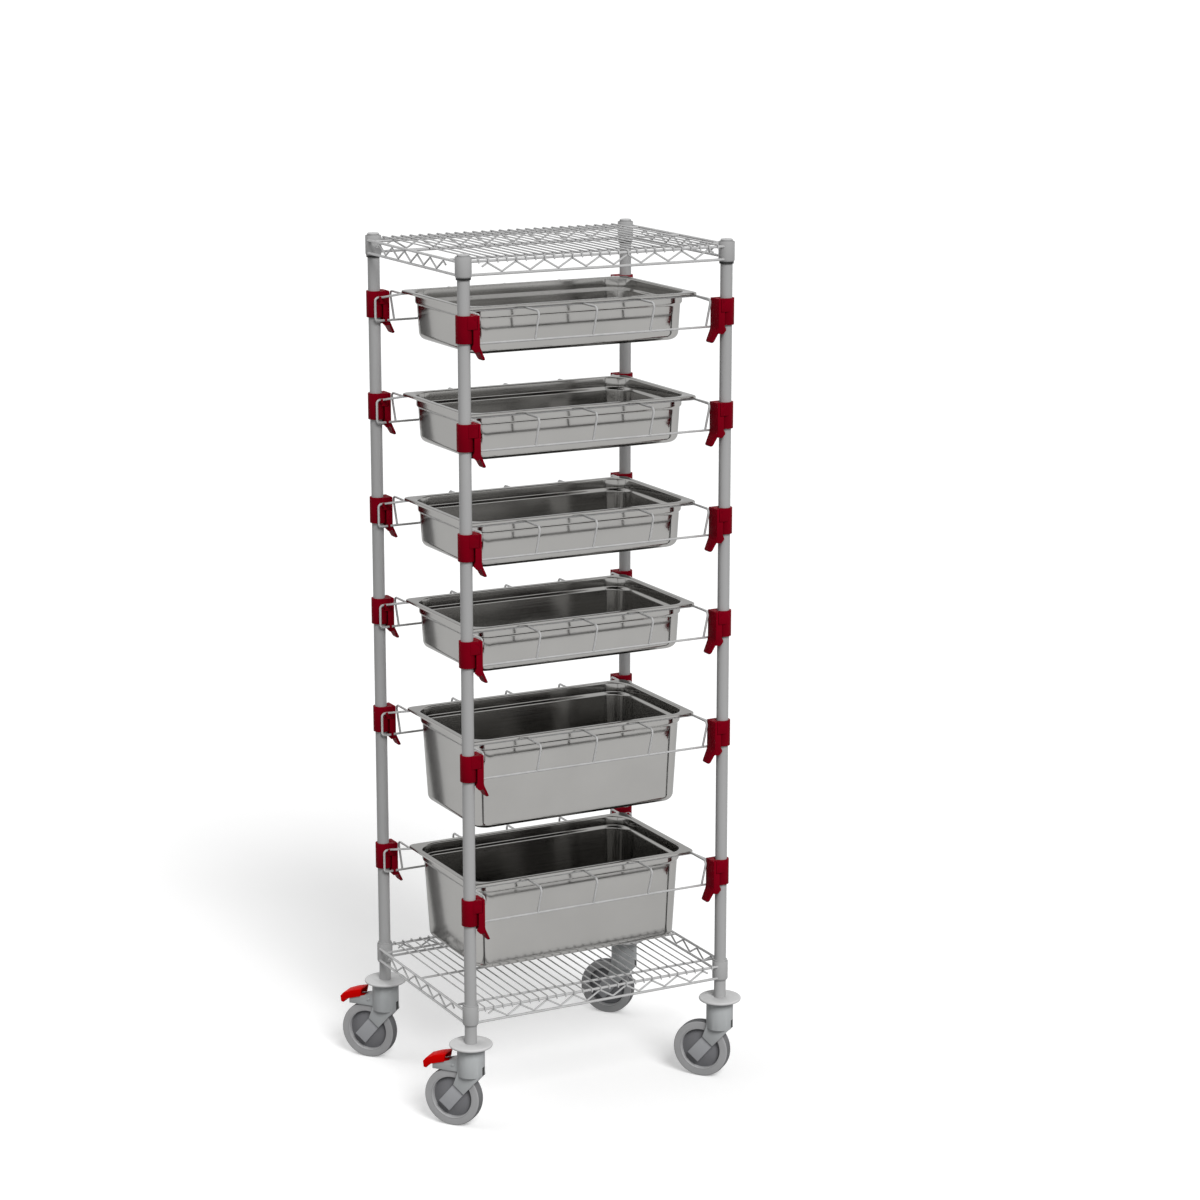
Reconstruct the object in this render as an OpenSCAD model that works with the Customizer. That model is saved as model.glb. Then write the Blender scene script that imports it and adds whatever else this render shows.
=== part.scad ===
// Tray trolley: four round posts on swivel castors carry two wire shelves and,
// between them, six levels of wire runners with a stainless tray on each.
// Millimetres, +Z up. The long side lies along X and the front faces -Y.
// The origin is on the floor, midway between the axes of the four posts.

/* [Overall] */
// Distance between post axes along the long side
post_span_x = 596; // [580:1:680]
// Distance between post axes along the short side
post_span_y = 440; // [430:1:500]
// Height of the post ends above the floor
post_top_z = 1822; // [1800:1:1950]

/* [Posts] */
// Outside diameter of a post
post_d = 25.4; // [24:0.1:26.5]
// Wall thickness of a post
post_wall = 1.5; // [1:0.1:2.5]
// Height of the cap that shows above a post
cap_h = 3; // [2:0.5:8]
// Depth of the plug under a cap
cap_plug_h = 12; // [6:1:20]

/* [Levels] */
// Height of the top edge of the clamps of level 1
level_1_z = 1704; // [1690:1:1712]
// Height of the top edge of the clamps of level 2
level_2_z = 1488; // [1470:1:1500]
// Height of the top edge of the clamps of level 3
level_3_z = 1265; // [1250:1:1280]
// Height of the top edge of the clamps of level 4
level_4_z = 1045; // [1030:1:1060]
// Height of the top edge of the clamps of level 5
level_5_z = 806; // [790:1:820]
// Height of the top edge of the clamps of level 6
level_6_z = 498; // [490:1:510]

/* [Shelves] */
// Height of the top edge of the bottom shelf's collars
bottom_shelf_z = 267; // [262:1:272]
// Length of post that stands above the top shelf's collars
post_over_shelf = 2; // [1:0.5:10]
// Height of a collar
collar_h = 42; // [40:1:48]
// Wall thickness of a collar
collar_wall = 1.6; // [1.2:0.1:2.5]
// Height of the chamfer at a collar's lower edge
collar_chamfer = 4; // [1:0.5:6]
// Thickness of the split sleeve between post and collar
sleeve_wall = 2.3; // [1.5:0.1:3]
// Height of a split sleeve
sleeve_h = 44; // [40:1:50]
// How far a sleeve shows past its collar
sleeve_show = 3.5; // [1:0.5:6]
// Diameter of the upper and lower wires round a shelf
edge_wire_d = 5.6; // [4.5:0.1:6.5]
// Diameter of the zigzag wires
zigzag_wire_d = 4; // [3:0.1:5]
// Diameter of the deck wires that run front to back
deck_wire_d = 3.2; // [2.5:0.1:4]
// Diameter of the three wires under the deck
cross_wire_d = 5; // [4:0.1:6]
// Distance from a collar's top edge down to the upper edge wire
upper_wire_drop = 9.5; // [8:0.5:12]
// Distance from a collar's top edge down to the lower edge wire
lower_wire_drop = 36; // [32:0.5:38]
// Offset of the front and rear edge wires beyond the post axes
front_wire_offset = 9.5; // [8:0.5:12]
// Offset of the side edge wires beyond the post axes
side_wire_offset = 13.5; // [12:0.5:14.5]
// Length of one zigzag
zigzag_pitch = 62.4; // [50:0.1:80]
// Least length between a post axis and a zigzag's last peak
zigzag_margin = 40; // [38:1:60]
// Distance of the outer cross wires from the front and rear edge wires
cross_wire_inset = 48; // [40:1:60]

/* [Trays] */
// Length of a tray over its rim
tray_length = 530; // [526:0.5:534]
// Width of a tray over its rim
tray_width = 325; // [300:0.5:330]
// Depth of the four upper trays
shallow_tray_depth = 100; // [65:5:130]
// Depth of the two lower trays
deep_tray_depth = 200; // [150:5:205]
// Thickness of the sheet
tray_sheet = 0.9; // [0.7:0.1:1.2]
// Width of the flat rim
tray_rim_width = 12.5; // [11:0.5:14]
// Height of the rim's turned down edge
tray_rim_drop = 5; // [4:0.5:6]
// Corner radius of the rim
tray_rim_r = 10; // [8:1:14]
// Corner radius of the opening
tray_opening_r = 48; // [45:1:55]
// Radius between the wall and the bottom
tray_bottom_r = 16; // [10:1:18]
// Height of the stacking shoulder's lower edge under the rim
tray_shoulder_drop = 26; // [22:1:30]
// How far the wall steps in at the shoulder
tray_shoulder_step = 4; // [3:0.5:6]
// Draft of the wall under the shoulder, in degrees
tray_draft = 3.5; // [2:0.5:4]
// Height of a tray's rim above the top edge of its clamps
tray_rim_rise = 6.2; // [5:0.2:9]

/* [Runners] */
// Diameter of the runner wire
runner_wire_d = 4.8; // [4:0.1:5]
// Clearance between a tray's wall and the rail beside it
rail_clearance = 1.7; // [1:0.1:3]
// Distance from the end of a tray to the end of its rails
rail_end_inset = 3; // [2:0.5:6]
// Distance from the rail down to the lower wire
runner_drop = 59.5; // [58.5:0.1:61]
// How far a runner's ends reach past the post axes
runner_overrun = 6.5; // [5:0.5:8]
// Distance from the rail down to the upper wire of a runner's ends
runner_end_drop = 11; // [9:0.5:13]
// Length of that wire, from the post axis, that runs beside the clamp
runner_end_run = 10; // [8:0.5:12]
// Diameter of the wire of a runner's hooks
hook_wire_d = 4.6; // [4:0.1:5]

/* [Clamps] */
// Height of a clamp's body
clamp_h = 55; // [54:0.5:56]
// Wall of the body round the post
clamp_wall = 4; // [3:0.1:4.5]
// Width of the clamp and its lever
clamp_width = 35.4; // [34.5:0.1:36]
// Distance from the post axis to the face of the hinge ears
ear_reach = 21; // [20:0.5:22]
// Height of the hinge ears
ear_h = 27; // [22:1:30]
// Thickness of the lever
lever_wall = 5; // [3:0.1:5.5]
// Gap between the ears and the lever
lever_gap = 1; // [0.9:0.1:1.5]
// Diameter of the hinge pin
pin_d = 3.5; // [3:0.1:4]
// Distance from the face of the ears back to the hinge pin
pin_back = 4.5; // [4:0.1:5]
// Distance from the clamp's top edge down to the hinge pin
pin_drop = 8; // [7:0.5:9]
// Width of the tongue that carries the lever on its pin
tongue_width = 11.2; // [8:0.2:14]
// Wall of the lever's two cheeks
cheek_wall = 3.4; // [2.5:0.1:4]
// Drop of the lever's tail below the clamp's body
tail_drop = 36; // [30:1:40]
// Radius on which the tail curves away from the post
tail_bend_r = 30; // [20:1:40]
// Angle between the tail's end and the post, in degrees
tail_angle = 27; // [15:1:35]
// Width of the tail at its tip
tail_tip_width = 24; // [18:1:28]

/* [Castors] */
// Height of a castor, from the floor to the end of the post
castor_h = 185; // [184:0.5:190]
// Diameter of a wheel
wheel_d = 125; // [123:0.5:126]
// Width of a wheel's tread
wheel_w = 24; // [20:0.5:24.5]
// Diameter of the dished recess in a wheel
wheel_recess_d = 88; // [84:1:92]
// Diameter of a wheel's hub
wheel_hub_d = 30; // [26:1:34]
// Width of a wheel's hub
wheel_hub_w = 16.8; // [14:0.2:18]
// Diameter of the axle
axle_d = 8; // [6:0.5:12]
// Distance from the swivel axis back to the axle
castor_trail = 40; // [38:0.5:42]
// Angle of the castors, turned from the rear towards the left, in degrees
castor_angle = 40; // [0:5:90]
// Diameter of the bumper disc
disc_d = 91; // [80:1:100]
// Thickness of the bumper disc
disc_h = 6; // [5:0.5:7]
// Diameter of the ring under the disc
disc_ring_d = 60; // [58:1:66]
// Height of the ring under the disc
disc_ring_h = 3; // [2:0.5:4]
// Diameter of the swivel housing
housing_d = 58; // [56:1:60]
// Height of the swivel housing
housing_h = 60; // [56:1:62]
// Thickness of the castor's legs
leg_wall = 6; // [4:0.5:7]
// Width of a leg
leg_width = 30; // [26:1:34]
// Slope of a leg, in degrees
leg_slope = 50; // [46:1:54]
// Diameter of the swivel stem
stem_d = 12; // [10:0.5:14]
// Length of the stem inside the housing
stem_depth = 40; // [30:1:42]
// Length of the stem's plug inside the post
stem_plug_h = 40; // [25:1:60]
// Distance that the brake cowl reaches back past the axle
cowl_reach = 42; // [38:1:46]
// Wall of the brake cowl
cowl_wall = 2; // [1.5:0.1:2.4]
// Wall of the brake pedal
pedal_wall = 2.6; // [2:0.1:3]
// Diameter of the brake pedal's pin
pedal_pin_d = 5; // [4:0.5:6]

/* [Hidden] */
// Gap between two fixed pieces that sit on each other
seat_gap = 0.1;
// Gap between a moving piece and what it rests on
slide_gap = 0.3;
// Radial clearance of a pin or shaft in its bore
bore_fit = 0.05;
// Depth by which welded wires sink into each other
weld = 0.2;
// Overrun of every cut
cut = 1;
// Roundness of pins, bores and bodies of revolution
round_fn = 64;
// Roundness of wires
wire_fn = 24;
// Chords in each rounded corner of a tray
corner_steps = 5;
// Chords in each rounded outline
outline_steps = 8;

hx = post_span_x / 2;
hy = post_span_y / 2;
post_r = post_d / 2;
post_bore_r = post_r - post_wall;
levels_z = [level_1_z, level_2_z, level_3_z, level_4_z, level_5_z, level_6_z];
tray_depths = [
    shallow_tray_depth, shallow_tray_depth, shallow_tray_depth,
    shallow_tray_depth, deep_tray_depth, deep_tray_depth
];

// Corners, as the signs of X and Y
left_front = [-1, -1];
right_front = [1, -1];
left_rear = [-1, 1];
right_rear = [1, 1];
corners = [left_front, right_front, left_rear, right_rear];

// Shelves
top_shelf_z = post_top_z - post_over_shelf;
collar_bore_r = post_r + sleeve_wall + 2 * seat_gap;
collar_r = collar_bore_r + collar_wall;
edge_r = edge_wire_d / 2;
zigzag_r = zigzag_wire_d / 2;
deck_r = deck_wire_d / 2;
cross_r = cross_wire_d / 2;
front_wire_y = hy + front_wire_offset;
side_wire_x = hx + side_wire_offset;
long_peaks = floor((hx - zigzag_margin) / zigzag_pitch);
short_peaks = floor((hy - zigzag_margin) / zigzag_pitch + 1 / 2);
deck_pitch = zigzag_pitch / 3;
deck_count = floor((hx - collar_r - deck_wire_d) / deck_pitch);
// Share of a zigzag's half turn that its loose ends keep
stub_share = 0.4;

// Runners, with heights counted from the top edge of their clamps
runner_r = runner_wire_d / 2;
runner_knuckle = 0.05;
hook_r = hook_wire_d / 2;
rail_z = tray_rim_rise - tray_rim_drop - slide_gap - runner_r;
rail_x = tray_length / 2 - rail_end_inset;
rail_y = tray_width / 2 - tray_rim_width + tray_sheet + rail_clearance + runner_r;
hook_pitch = rail_x / 2;
lower_wire_z = rail_z - runner_drop;
end_wire_z = rail_z - runner_end_drop;
// Gap between a clamp and the wires beside it
runner_gap = 0.4;
lower_wire_y = hy - clamp_width / 2 - runner_r - runner_gap;
runner_end_x = hx + runner_overrun;

// Clamps, with X and Y counted from the post axis towards the middle
clamp_bore_r = post_r + seat_gap;
clamp_r = clamp_bore_r + clamp_wall;
clamp_half = clamp_width / 2;
pin_r = pin_d / 2;
pin_x = ear_reach - pin_back;
lever_x = ear_reach + lever_gap;
lever_mid_x = lever_x + lever_wall / 2;
slot_width = tongue_width + 4 * slide_gap;
cheek_x = post_r + slide_gap;
end_wire_in = hy - lower_wire_y;
// Nub that carries the runner's end, and finger that laps over its lower wire
nub_x = 1;
nub_w = 4.5;
nub_wall = 3;
finger_w = 5;
finger_wall = 2;
tail_half = lever_wall / 2;
tail_run = (tail_drop - tail_half - tail_bend_r * sin(tail_angle)) / cos(tail_angle);
tip_z = -clamp_h - tail_drop;

// Castors, with X along the trail, Y across it and Z up from the floor
wheel_r = wheel_d / 2;
wheel_half = wheel_w / 2;
hub_half = wheel_hub_w / 2;
axle_r = axle_d / 2;
// Clearances round the tread and beside it
tread_clear = 2.5;
side_clear = 1.5;
leg_in = wheel_half + side_clear;
leg_out = leg_in + leg_wall;
housing_r = housing_d / 2;
housing_top = castor_h - disc_h - disc_ring_h - slide_gap;
housing_low = housing_top - housing_h;
stem_r = stem_d / 2;
stem_low = housing_top - stem_depth;
// A leg's pad runs from the leg's crease to below the axle
pad_in = hub_half + slide_gap;
pad_out = leg_in + leg_wall / 3;
pad_start = 29.5;
pad_end = 25;
// Socket of the swivel lock in the front of a housing
socket_w = 12;
socket_low = 3;
socket_h = 23;
socket_depth = 6;
// Brake cowl: cheeks on both sides of the wheel under a sloping cover
cowl_half = leg_in + cowl_wall;
cowl_end_x = castor_trail + cowl_reach;
cowl_low_z = wheel_d - tread_clear;
cowl_end_h = 10.8;
cowl_bend_x = 54;
cowl_bend_h = 19.1;
cowl_root_h = 35.6;
cover_x = 46;
cover_h = cowl_root_h + (cowl_bend_h - cowl_root_h) * cover_x / cowl_bend_x;
// Brake pedal: a cap over the cowl's end, hinged inside the cowl
pedal_in = cowl_half + runner_gap;
pedal_half = pedal_in + pedal_wall;
pedal_x = 50.5;
pedal_length = 52;
pedal_rise = 36;
pedal_share = [
    [0.07, 0.53], [0, 1], [0.47, 0.83], [0.87, 0.61], [1, 0.39],
    [0.97, 0.04], [0.86, 0], [0.76, 0.21], [0.61, 0.3]
];
pedal_tip_share = [0.78, 0.66];
pedal_pin_r = pedal_pin_d / 2;
pedal_pin_x = housing_r + pedal_pin_d;
pedal_pin_rise = 12;
pedal_pin_z = wheel_d + pedal_pin_rise;
beam_half = 10;
beam_low = 4;
beam_high = 3.5;
shoe_x = 50;
shoe_length = 10;
shoe_rise = 2.5;

// Wires and rounded outlines

function unit(v) = v / norm(v);

// Points on the arc of radius bend that rounds the corner b of the path a, b, c
function arc_points(a, b, c, bend, steps) =
    let (
        u = unit(a - b),
        w = unit(c - b),
        half = acos(max(-1, min(1, u * w))) / 2,
        centre = b + unit(u + w) * bend / sin(half),
        from = b + u * bend / tan(half) - centre,
        to = b + w * bend / tan(half) - centre,
        sweep = 180 - 2 * half
    )
    [for (k = [0:steps])
        centre + (from * sin(sweep * (1 - k / steps)) + to * sin(sweep * k / steps)) / sin(sweep)];

module rod(a, b, r) {
    v = b - a;
    translate(a)
        rotate([0, acos(v.z / norm(v)), atan2(v.y, v.x)])
            cylinder(r = r, h = norm(v), $fn = wire_fn);
}

// Wires with a ball at each bend, which stands out from the wire by the knuckle
module wire(p, r, knuckle = 0) {
    for (i = [0:len(p) - 2]) rod(p[i], p[i + 1], r);
    for (i = [1:len(p) - 2]) translate(p[i]) sphere(r = r + knuckle, $fn = wire_fn);
}

module wire_loop(p, r, knuckle = 0) {
    n = len(p);
    for (i = [0:n - 1]) {
        rod(p[i], p[(i + 1) % n], r);
        translate(p[i]) sphere(r = r + knuckle, $fn = wire_fn);
    }
}

// Stands children on a corner's post axis, with +X and +Y towards the middle
module at_corner(c)
    translate([c.x * hx, c.y * hy, 0])
        mirror([c.x > 0 ? 1 : 0, 0, 0])
            mirror([0, c.y > 0 ? 1 : 0, 0])
                children();

// Plate of the given half width across Y, from an outline in X and Z
module across(half_width)
    translate([0, half_width, 0])
        rotate([90, 0, 0])
            linear_extrude(2 * half_width)
                children();

// Round bar along Y
module bar_across(x, z, r, half_length)
    translate([x, half_length, z])
        rotate([90, 0, 0])
            cylinder(r = r, h = 2 * half_length, $fn = round_fn);

// Posts

module post(c)
    color([0.66, 0.66, 0.66])
        translate([c.x * hx, c.y * hy, castor_h])
            difference() {
                cylinder(r = post_r, h = post_top_z - castor_h, $fn = round_fn);
                translate([0, 0, -cut])
                    cylinder(r = post_bore_r, h = post_top_z - castor_h + 2 * cut, $fn = round_fn);
            }

module left_front_post() post(left_front);
module right_front_post() post(right_front);
module left_rear_post() post(left_rear);
module right_rear_post() post(right_rear);

module post_caps()
    color([0.2, 0.2, 0.21])
        for (c = corners)
            translate([c.x * hx, c.y * hy, post_top_z])
                rotate_extrude($fn = round_fn)
                    polygon([
                        [0, -cap_plug_h],
                        [post_bore_r - seat_gap, -cap_plug_h],
                        [post_bore_r - seat_gap, 0],
                        [post_r, 0],
                        [post_r, cap_h / 2],
                        [post_r - cap_h / 2, cap_h],
                        [0, cap_h]
                    ]);

// Shelves

module half_sleeve(side)
    difference() {
        cylinder(r = collar_bore_r - seat_gap, h = sleeve_h, $fn = round_fn);
        translate([0, 0, -cut])
            cylinder(r = post_r + seat_gap, h = sleeve_h + 2 * cut, $fn = round_fn);
        translate([-collar_r, side < 0 ? -seat_gap : seat_gap - collar_r, -cut])
            cube([2 * collar_r, collar_r, sleeve_h + 2 * cut]);
    }

module split_sleeves()
    color([0.12, 0.12, 0.12])
        for (c = corners, side = [-1, 1]) {
            translate([c.x * hx, c.y * hy, bottom_shelf_z + sleeve_show - sleeve_h])
                half_sleeve(side);
            translate([c.x * hx, c.y * hy, top_shelf_z - collar_h - sleeve_show])
                half_sleeve(side);
        }

// The zigzag between an edge's two wires. At turns a length along the edge and a
// height from the middle of the edge into a point.
module zigzag(last, at, reach) {
    half = zigzag_pitch / 2;
    peak = reach - edge_r - zigzag_r - seat_gap;
    loose = (last + stub_share) * half;
    p = [
        at(-loose, peak * (1 - 2 * stub_share)),
        for (i = [-last:last]) at(i * half, abs(i - last) % 2 == 0 ? peak : -peak),
        at(loose, peak * (1 - 2 * stub_share))
    ];
    // Each run reaches past its peaks by the length of a mitre
    mitre = zigzag_r * 2 * peak / half;
    n = len(p) - 1;
    for (i = [0:n - 1])
        let (u = unit(p[i + 1] - p[i]))
        rod(p[i] - u * (i > 0 ? mitre : 0), p[i + 1] + u * (i < n - 1 ? mitre : 0), zigzag_r);
}

module shelf_frame(shelf_z) {
    mid = shelf_z - (upper_wire_drop + lower_wire_drop) / 2;
    reach = (lower_wire_drop - upper_wire_drop) / 2;
    difference() {
        union() {
            for (c = corners)
                translate([c.x * hx, c.y * hy, shelf_z - collar_h])
                    rotate_extrude($fn = round_fn)
                        polygon([
                            [post_r, 0],
                            [collar_r - collar_chamfer / 2, 0],
                            [collar_r, collar_chamfer],
                            [collar_r, collar_h],
                            [post_r, collar_h]
                        ]);
            for (s = [-1, 1], h = [mid - reach, mid + reach]) {
                rod([edge_r - hx, s * front_wire_y, h], [hx - edge_r, s * front_wire_y, h], edge_r);
                rod([s * side_wire_x, edge_r - hy, h], [s * side_wire_x, hy - edge_r, h], edge_r);
            }
        }
        for (c = corners)
            translate([c.x * hx, c.y * hy, shelf_z - collar_h - cut])
                cylinder(r = collar_bore_r, h = collar_h + 2 * cut, $fn = round_fn);
    }
    for (s = [-1, 1]) {
        zigzag(2 * long_peaks, function(u, h) [u, s * front_wire_y, mid + h], reach);
        zigzag(2 * short_peaks - 1, function(u, h) [s * side_wire_x, u, mid + h], reach);
    }
}

module shelf_deck(shelf_z) {
    upper = shelf_z - upper_wire_drop;
    deck_z = upper + edge_r + deck_r + seat_gap;
    nub_z = upper - edge_r - deck_r;
    end_y = front_wire_y + edge_r + deck_r + seat_gap;
    cross_x = side_wire_x - edge_r - seat_gap;
    cross_z = deck_z - deck_r - cross_r + weld;
    for (k = [-deck_count:deck_count])
        wire([
            [k * deck_pitch, -end_y, nub_z],
            [k * deck_pitch, -end_y, deck_z],
            [k * deck_pitch, end_y, deck_z],
            [k * deck_pitch, end_y, nub_z]
        ], deck_r);
    for (y = [cross_wire_inset - front_wire_y, 0, front_wire_y - cross_wire_inset])
        rod([-cross_x, y, cross_z], [cross_x, y, cross_z], cross_r);
}

module bottom_shelf_frame() color([0.7, 0.7, 0.69]) shelf_frame(bottom_shelf_z);
module bottom_shelf_deck() color([0.76, 0.76, 0.75]) shelf_deck(bottom_shelf_z);
module top_shelf_frame() color([0.7, 0.7, 0.69]) shelf_frame(top_shelf_z);
module top_shelf_deck() color([0.76, 0.76, 0.75]) shelf_deck(top_shelf_z);

// Runners: on each side a bent loop of wire, with five hooks that tie its rail to
// its lower wire

module runner(side, top_z) {
    function place(x, y, z) = [x, side * y, top_z + z];
    bend_x = hx - runner_end_run;
    wire_loop([
        place(-runner_end_x, lower_wire_y, lower_wire_z),
        place(-runner_end_x, lower_wire_y, end_wire_z),
        place(-bend_x, lower_wire_y, end_wire_z),
        place(-rail_x, rail_y, rail_z),
        place(rail_x, rail_y, rail_z),
        place(bend_x, lower_wire_y, end_wire_z),
        place(runner_end_x, lower_wire_y, end_wire_z),
        place(runner_end_x, lower_wire_y, lower_wire_z)
    ], runner_r, runner_knuckle);
    for (k = [-2:2])
        wire([
            place(k * hook_pitch, rail_y, rail_z),
            place(k * hook_pitch, hy, rail_z),
            place(k * hook_pitch, lower_wire_y, lower_wire_z)
        ], hook_r, runner_knuckle);
}

module runners(i)
    color([0.78, 0.78, 0.77])
        for (side = [-1, 1]) runner(side, levels_z[i]);

module runners_1() runners(0);
module runners_2() runners(1);
module runners_3() runners(2);
module runners_4() runners(3);
module runners_5() runners(4);
module runners_6() runners(5);

// Trays

function ring_corner(x, y, r, z, quarter) =
    [for (k = [0:corner_steps])
        let (a = 90 * (quarter + k / corner_steps))
        [x + r * cos(a), y + r * sin(a), z]];

// A rounded rectangle that lies inset from the rim's outer edge
function ring(inset, r, z) =
    let (
        x = tray_length / 2 - inset - r,
        y = tray_width / 2 - inset - r
    )
    concat(
        ring_corner(x, y, r, z, 0),
        ring_corner(-x, y, r, z, 1),
        ring_corner(-x, -y, r, z, 2),
        ring_corner(x, -y, r, z, 3)
    );

function wall_ring(inset, z) = ring(inset, tray_opening_r + tray_rim_width - inset, z);
function rim_ring(inset, z) = ring(inset, tray_rim_r - inset, z);

// Rings of the wall from the bottom up, on the surface t outside the inner one
function wall_rings(depth, t) =
    let (
        wall_in = tray_rim_width + tray_shoulder_step,
        foot_in = wall_in + (depth - tray_shoulder_drop) * tan(tray_draft),
        centre_z = tray_sheet - depth + tray_bottom_r,
        shift = t * tan(45 / 2)
    )
    [
        for (a = [0:30:90])
            wall_ring(foot_in + tray_bottom_r - (tray_bottom_r + t) * sin(a),
                centre_z - (tray_bottom_r + t) * cos(a)),
        wall_ring(wall_in - t, -tray_shoulder_drop - shift),
        wall_ring(tray_rim_width - t, tray_shoulder_step - tray_shoulder_drop - shift)
    ];

module tray(i) {
    s = tray_sheet;
    inner = wall_rings(tray_depths[i], 0);
    outer = wall_rings(tray_depths[i], s);
    rings = concat(
        inner,
        [
            wall_ring(tray_rim_width, -s),
            wall_ring(tray_rim_width - s, 0),
            rim_ring(s, 0),
            rim_ring(0, -s),
            rim_ring(0, -tray_rim_drop),
            rim_ring(s, -tray_rim_drop),
            rim_ring(s, -s),
            wall_ring(tray_rim_width - s, -s)
        ],
        [for (k = [len(outer) - 1:-1:0]) outer[k]]
    );
    n = len(rings[0]);
    last = len(rings) - 1;
    color([0.64, 0.63, 0.62])
        translate([0, 0, levels_z[i] + tray_rim_rise])
            polyhedron(
                points = [for (r = rings) each r],
                faces = [
                    [for (k = [n - 1:-1:0]) k],
                    for (r = [0:last - 1], k = [0:n - 1]) each [
                        [r * n + k, r * n + (k + 1) % n, (r + 1) * n + k],
                        [r * n + (k + 1) % n, (r + 1) * n + (k + 1) % n, (r + 1) * n + k]
                    ],
                    [for (k = [0:n - 1]) last * n + k]
                ]
            );
}

module tray_1() tray(0);
module tray_2() tray(1);
module tray_3() tray(2);
module tray_4() tray(3);
module tray_5() tray(4);
module tray_6() tray(5);

// Clamps: a slotted body round the post, and a lever with a curved tail on a pin
// between the body's two ears

module clamp_body() {
    seat_z = end_wire_z - runner_r - seat_gap - nub_wall;
    seat_y = end_wire_in + runner_r + seat_gap;
    difference() {
        union() {
            translate([0, 0, -clamp_h]) cylinder(r = clamp_r, h = clamp_h, $fn = round_fn);
            translate([0, -clamp_half, -ear_h]) cube([ear_reach, clamp_width, ear_h]);
            translate([nub_x, clamp_bore_r, seat_z]) {
                cube([nub_w, seat_y + nub_wall - clamp_bore_r, nub_wall]);
                translate([0, seat_y - clamp_bore_r, 0])
                    cube([nub_w, nub_wall, nub_wall + runner_wire_d]);
            }
        }
        translate([0, 0, -clamp_h - cut])
            cylinder(r = clamp_bore_r, h = clamp_h + 2 * cut, $fn = round_fn);
        translate([0, -slot_width / 2, -clamp_h - cut])
            cube([ear_reach + cut, slot_width, clamp_h + 2 * cut]);
        bar_across(pin_x, -pin_drop, pin_r + bore_fit, clamp_width);
    }
}

module front_clamp_bodies()
    color([0.43, 0, 0.06])
        for (c = [left_front, right_front], z = levels_z)
            at_corner(c) translate([0, 0, z]) clamp_body();

module rear_clamp_bodies()
    color([0.43, 0, 0.06])
        for (c = [left_rear, right_rear], z = levels_z)
            at_corner(c) translate([0, 0, z]) clamp_body();

// Side outline of the lever's plate and tail, beside a centre line that runs down,
// curves away from the post and ends in a straight run
function tail_point(a, run, off) = [
    lever_mid_x + tail_bend_r - (tail_bend_r + off) * cos(a) + run * sin(a),
    -clamp_h - (tail_bend_r + off) * sin(a) - run * cos(a)
];

function lever_outline() = [
    [lever_x, 0],
    [lever_x + lever_wall, 0],
    for (k = [0:outline_steps]) tail_point(tail_angle * k / outline_steps, 0, -tail_half),
    for (k = [0:outline_steps])
        let (a = tail_angle - 180 * k / outline_steps)
        tail_point(tail_angle, tail_run, 0) + tail_half * [cos(a), sin(a)],
    for (k = [outline_steps:-1:0]) tail_point(tail_angle * k / outline_steps, 0, tail_half)
];

module lever() {
    tip_half = tail_tip_width / 2;
    tip_r = tip_half / 2;
    cheek_low = -clamp_h - tail_drop / 2;
    finger_y = end_wire_in + runner_r + slide_gap;
    difference() {
        across(clamp_half) polygon(lever_outline());
        // Taper of the tail, cut on both sides
        for (s = [-1, 1])
            rotate([90, 0, 90])
                linear_extrude(2 * (lever_x + tail_drop))
                    polygon(concat(
                        [[s * clamp_half, -clamp_h]],
                        arc_points([s * clamp_half, -clamp_h], [s * tip_half, tip_z],
                            [0, tip_z], tip_r, outline_steps),
                        [
                            [0, tip_z], [0, tip_z - cut],
                            [s * (clamp_half + cut), tip_z - cut], [s * (clamp_half + cut), -clamp_h]
                        ]
                    ));
    }
    for (s = [-1, 1])
        translate([0, s * (clamp_half - cheek_wall / 2), 0])
            across(cheek_wall / 2)
                polygon([
                    [cheek_x, -ear_h - lever_gap],
                    [lever_mid_x, -ear_h - lever_gap],
                    tail_point(0, 0, 0),
                    tail_point(tail_angle / 2, 0, 0),
                    tail_point(tail_angle, tail_run / 8, 0),
                    [pin_x, cheek_low],
                    [cheek_x - cheek_wall, -clamp_h - tail_drop * 0.3],
                    [cheek_x - cheek_wall, -clamp_h - tail_drop * 0.2],
                    [cheek_x, -clamp_h - 2 * slide_gap]
                ]);
    across(tongue_width / 2)
        polygon([
            [pin_x - pin_r, 0],
            [lever_mid_x, 0],
            [lever_mid_x, -2 * pin_drop],
            [post_r + 2 * slide_gap, -2 * pin_drop],
            [post_r + 2 * slide_gap, -pin_drop]
        ]);
    bar_across(pin_x, -pin_drop, pin_r, clamp_half - slide_gap);
    // The finger reaches over the runner's lower wire and down in front of it
    translate([cheek_x + slide_gap, clamp_half - cheek_wall, lower_wire_z + runner_r + runner_gap]) {
        cube([finger_w, finger_y + finger_wall - clamp_half + cheek_wall, 2 * finger_wall]);
        translate([0, finger_y - clamp_half + cheek_wall, -runner_wire_d - runner_gap])
            cube([finger_w, finger_wall, runner_wire_d + runner_gap + finger_wall]);
    }
}

module lever_at(c, i)
    color([0.5, 0, 0.07])
        at_corner(c) translate([0, 0, levels_z[i]]) lever();

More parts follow.
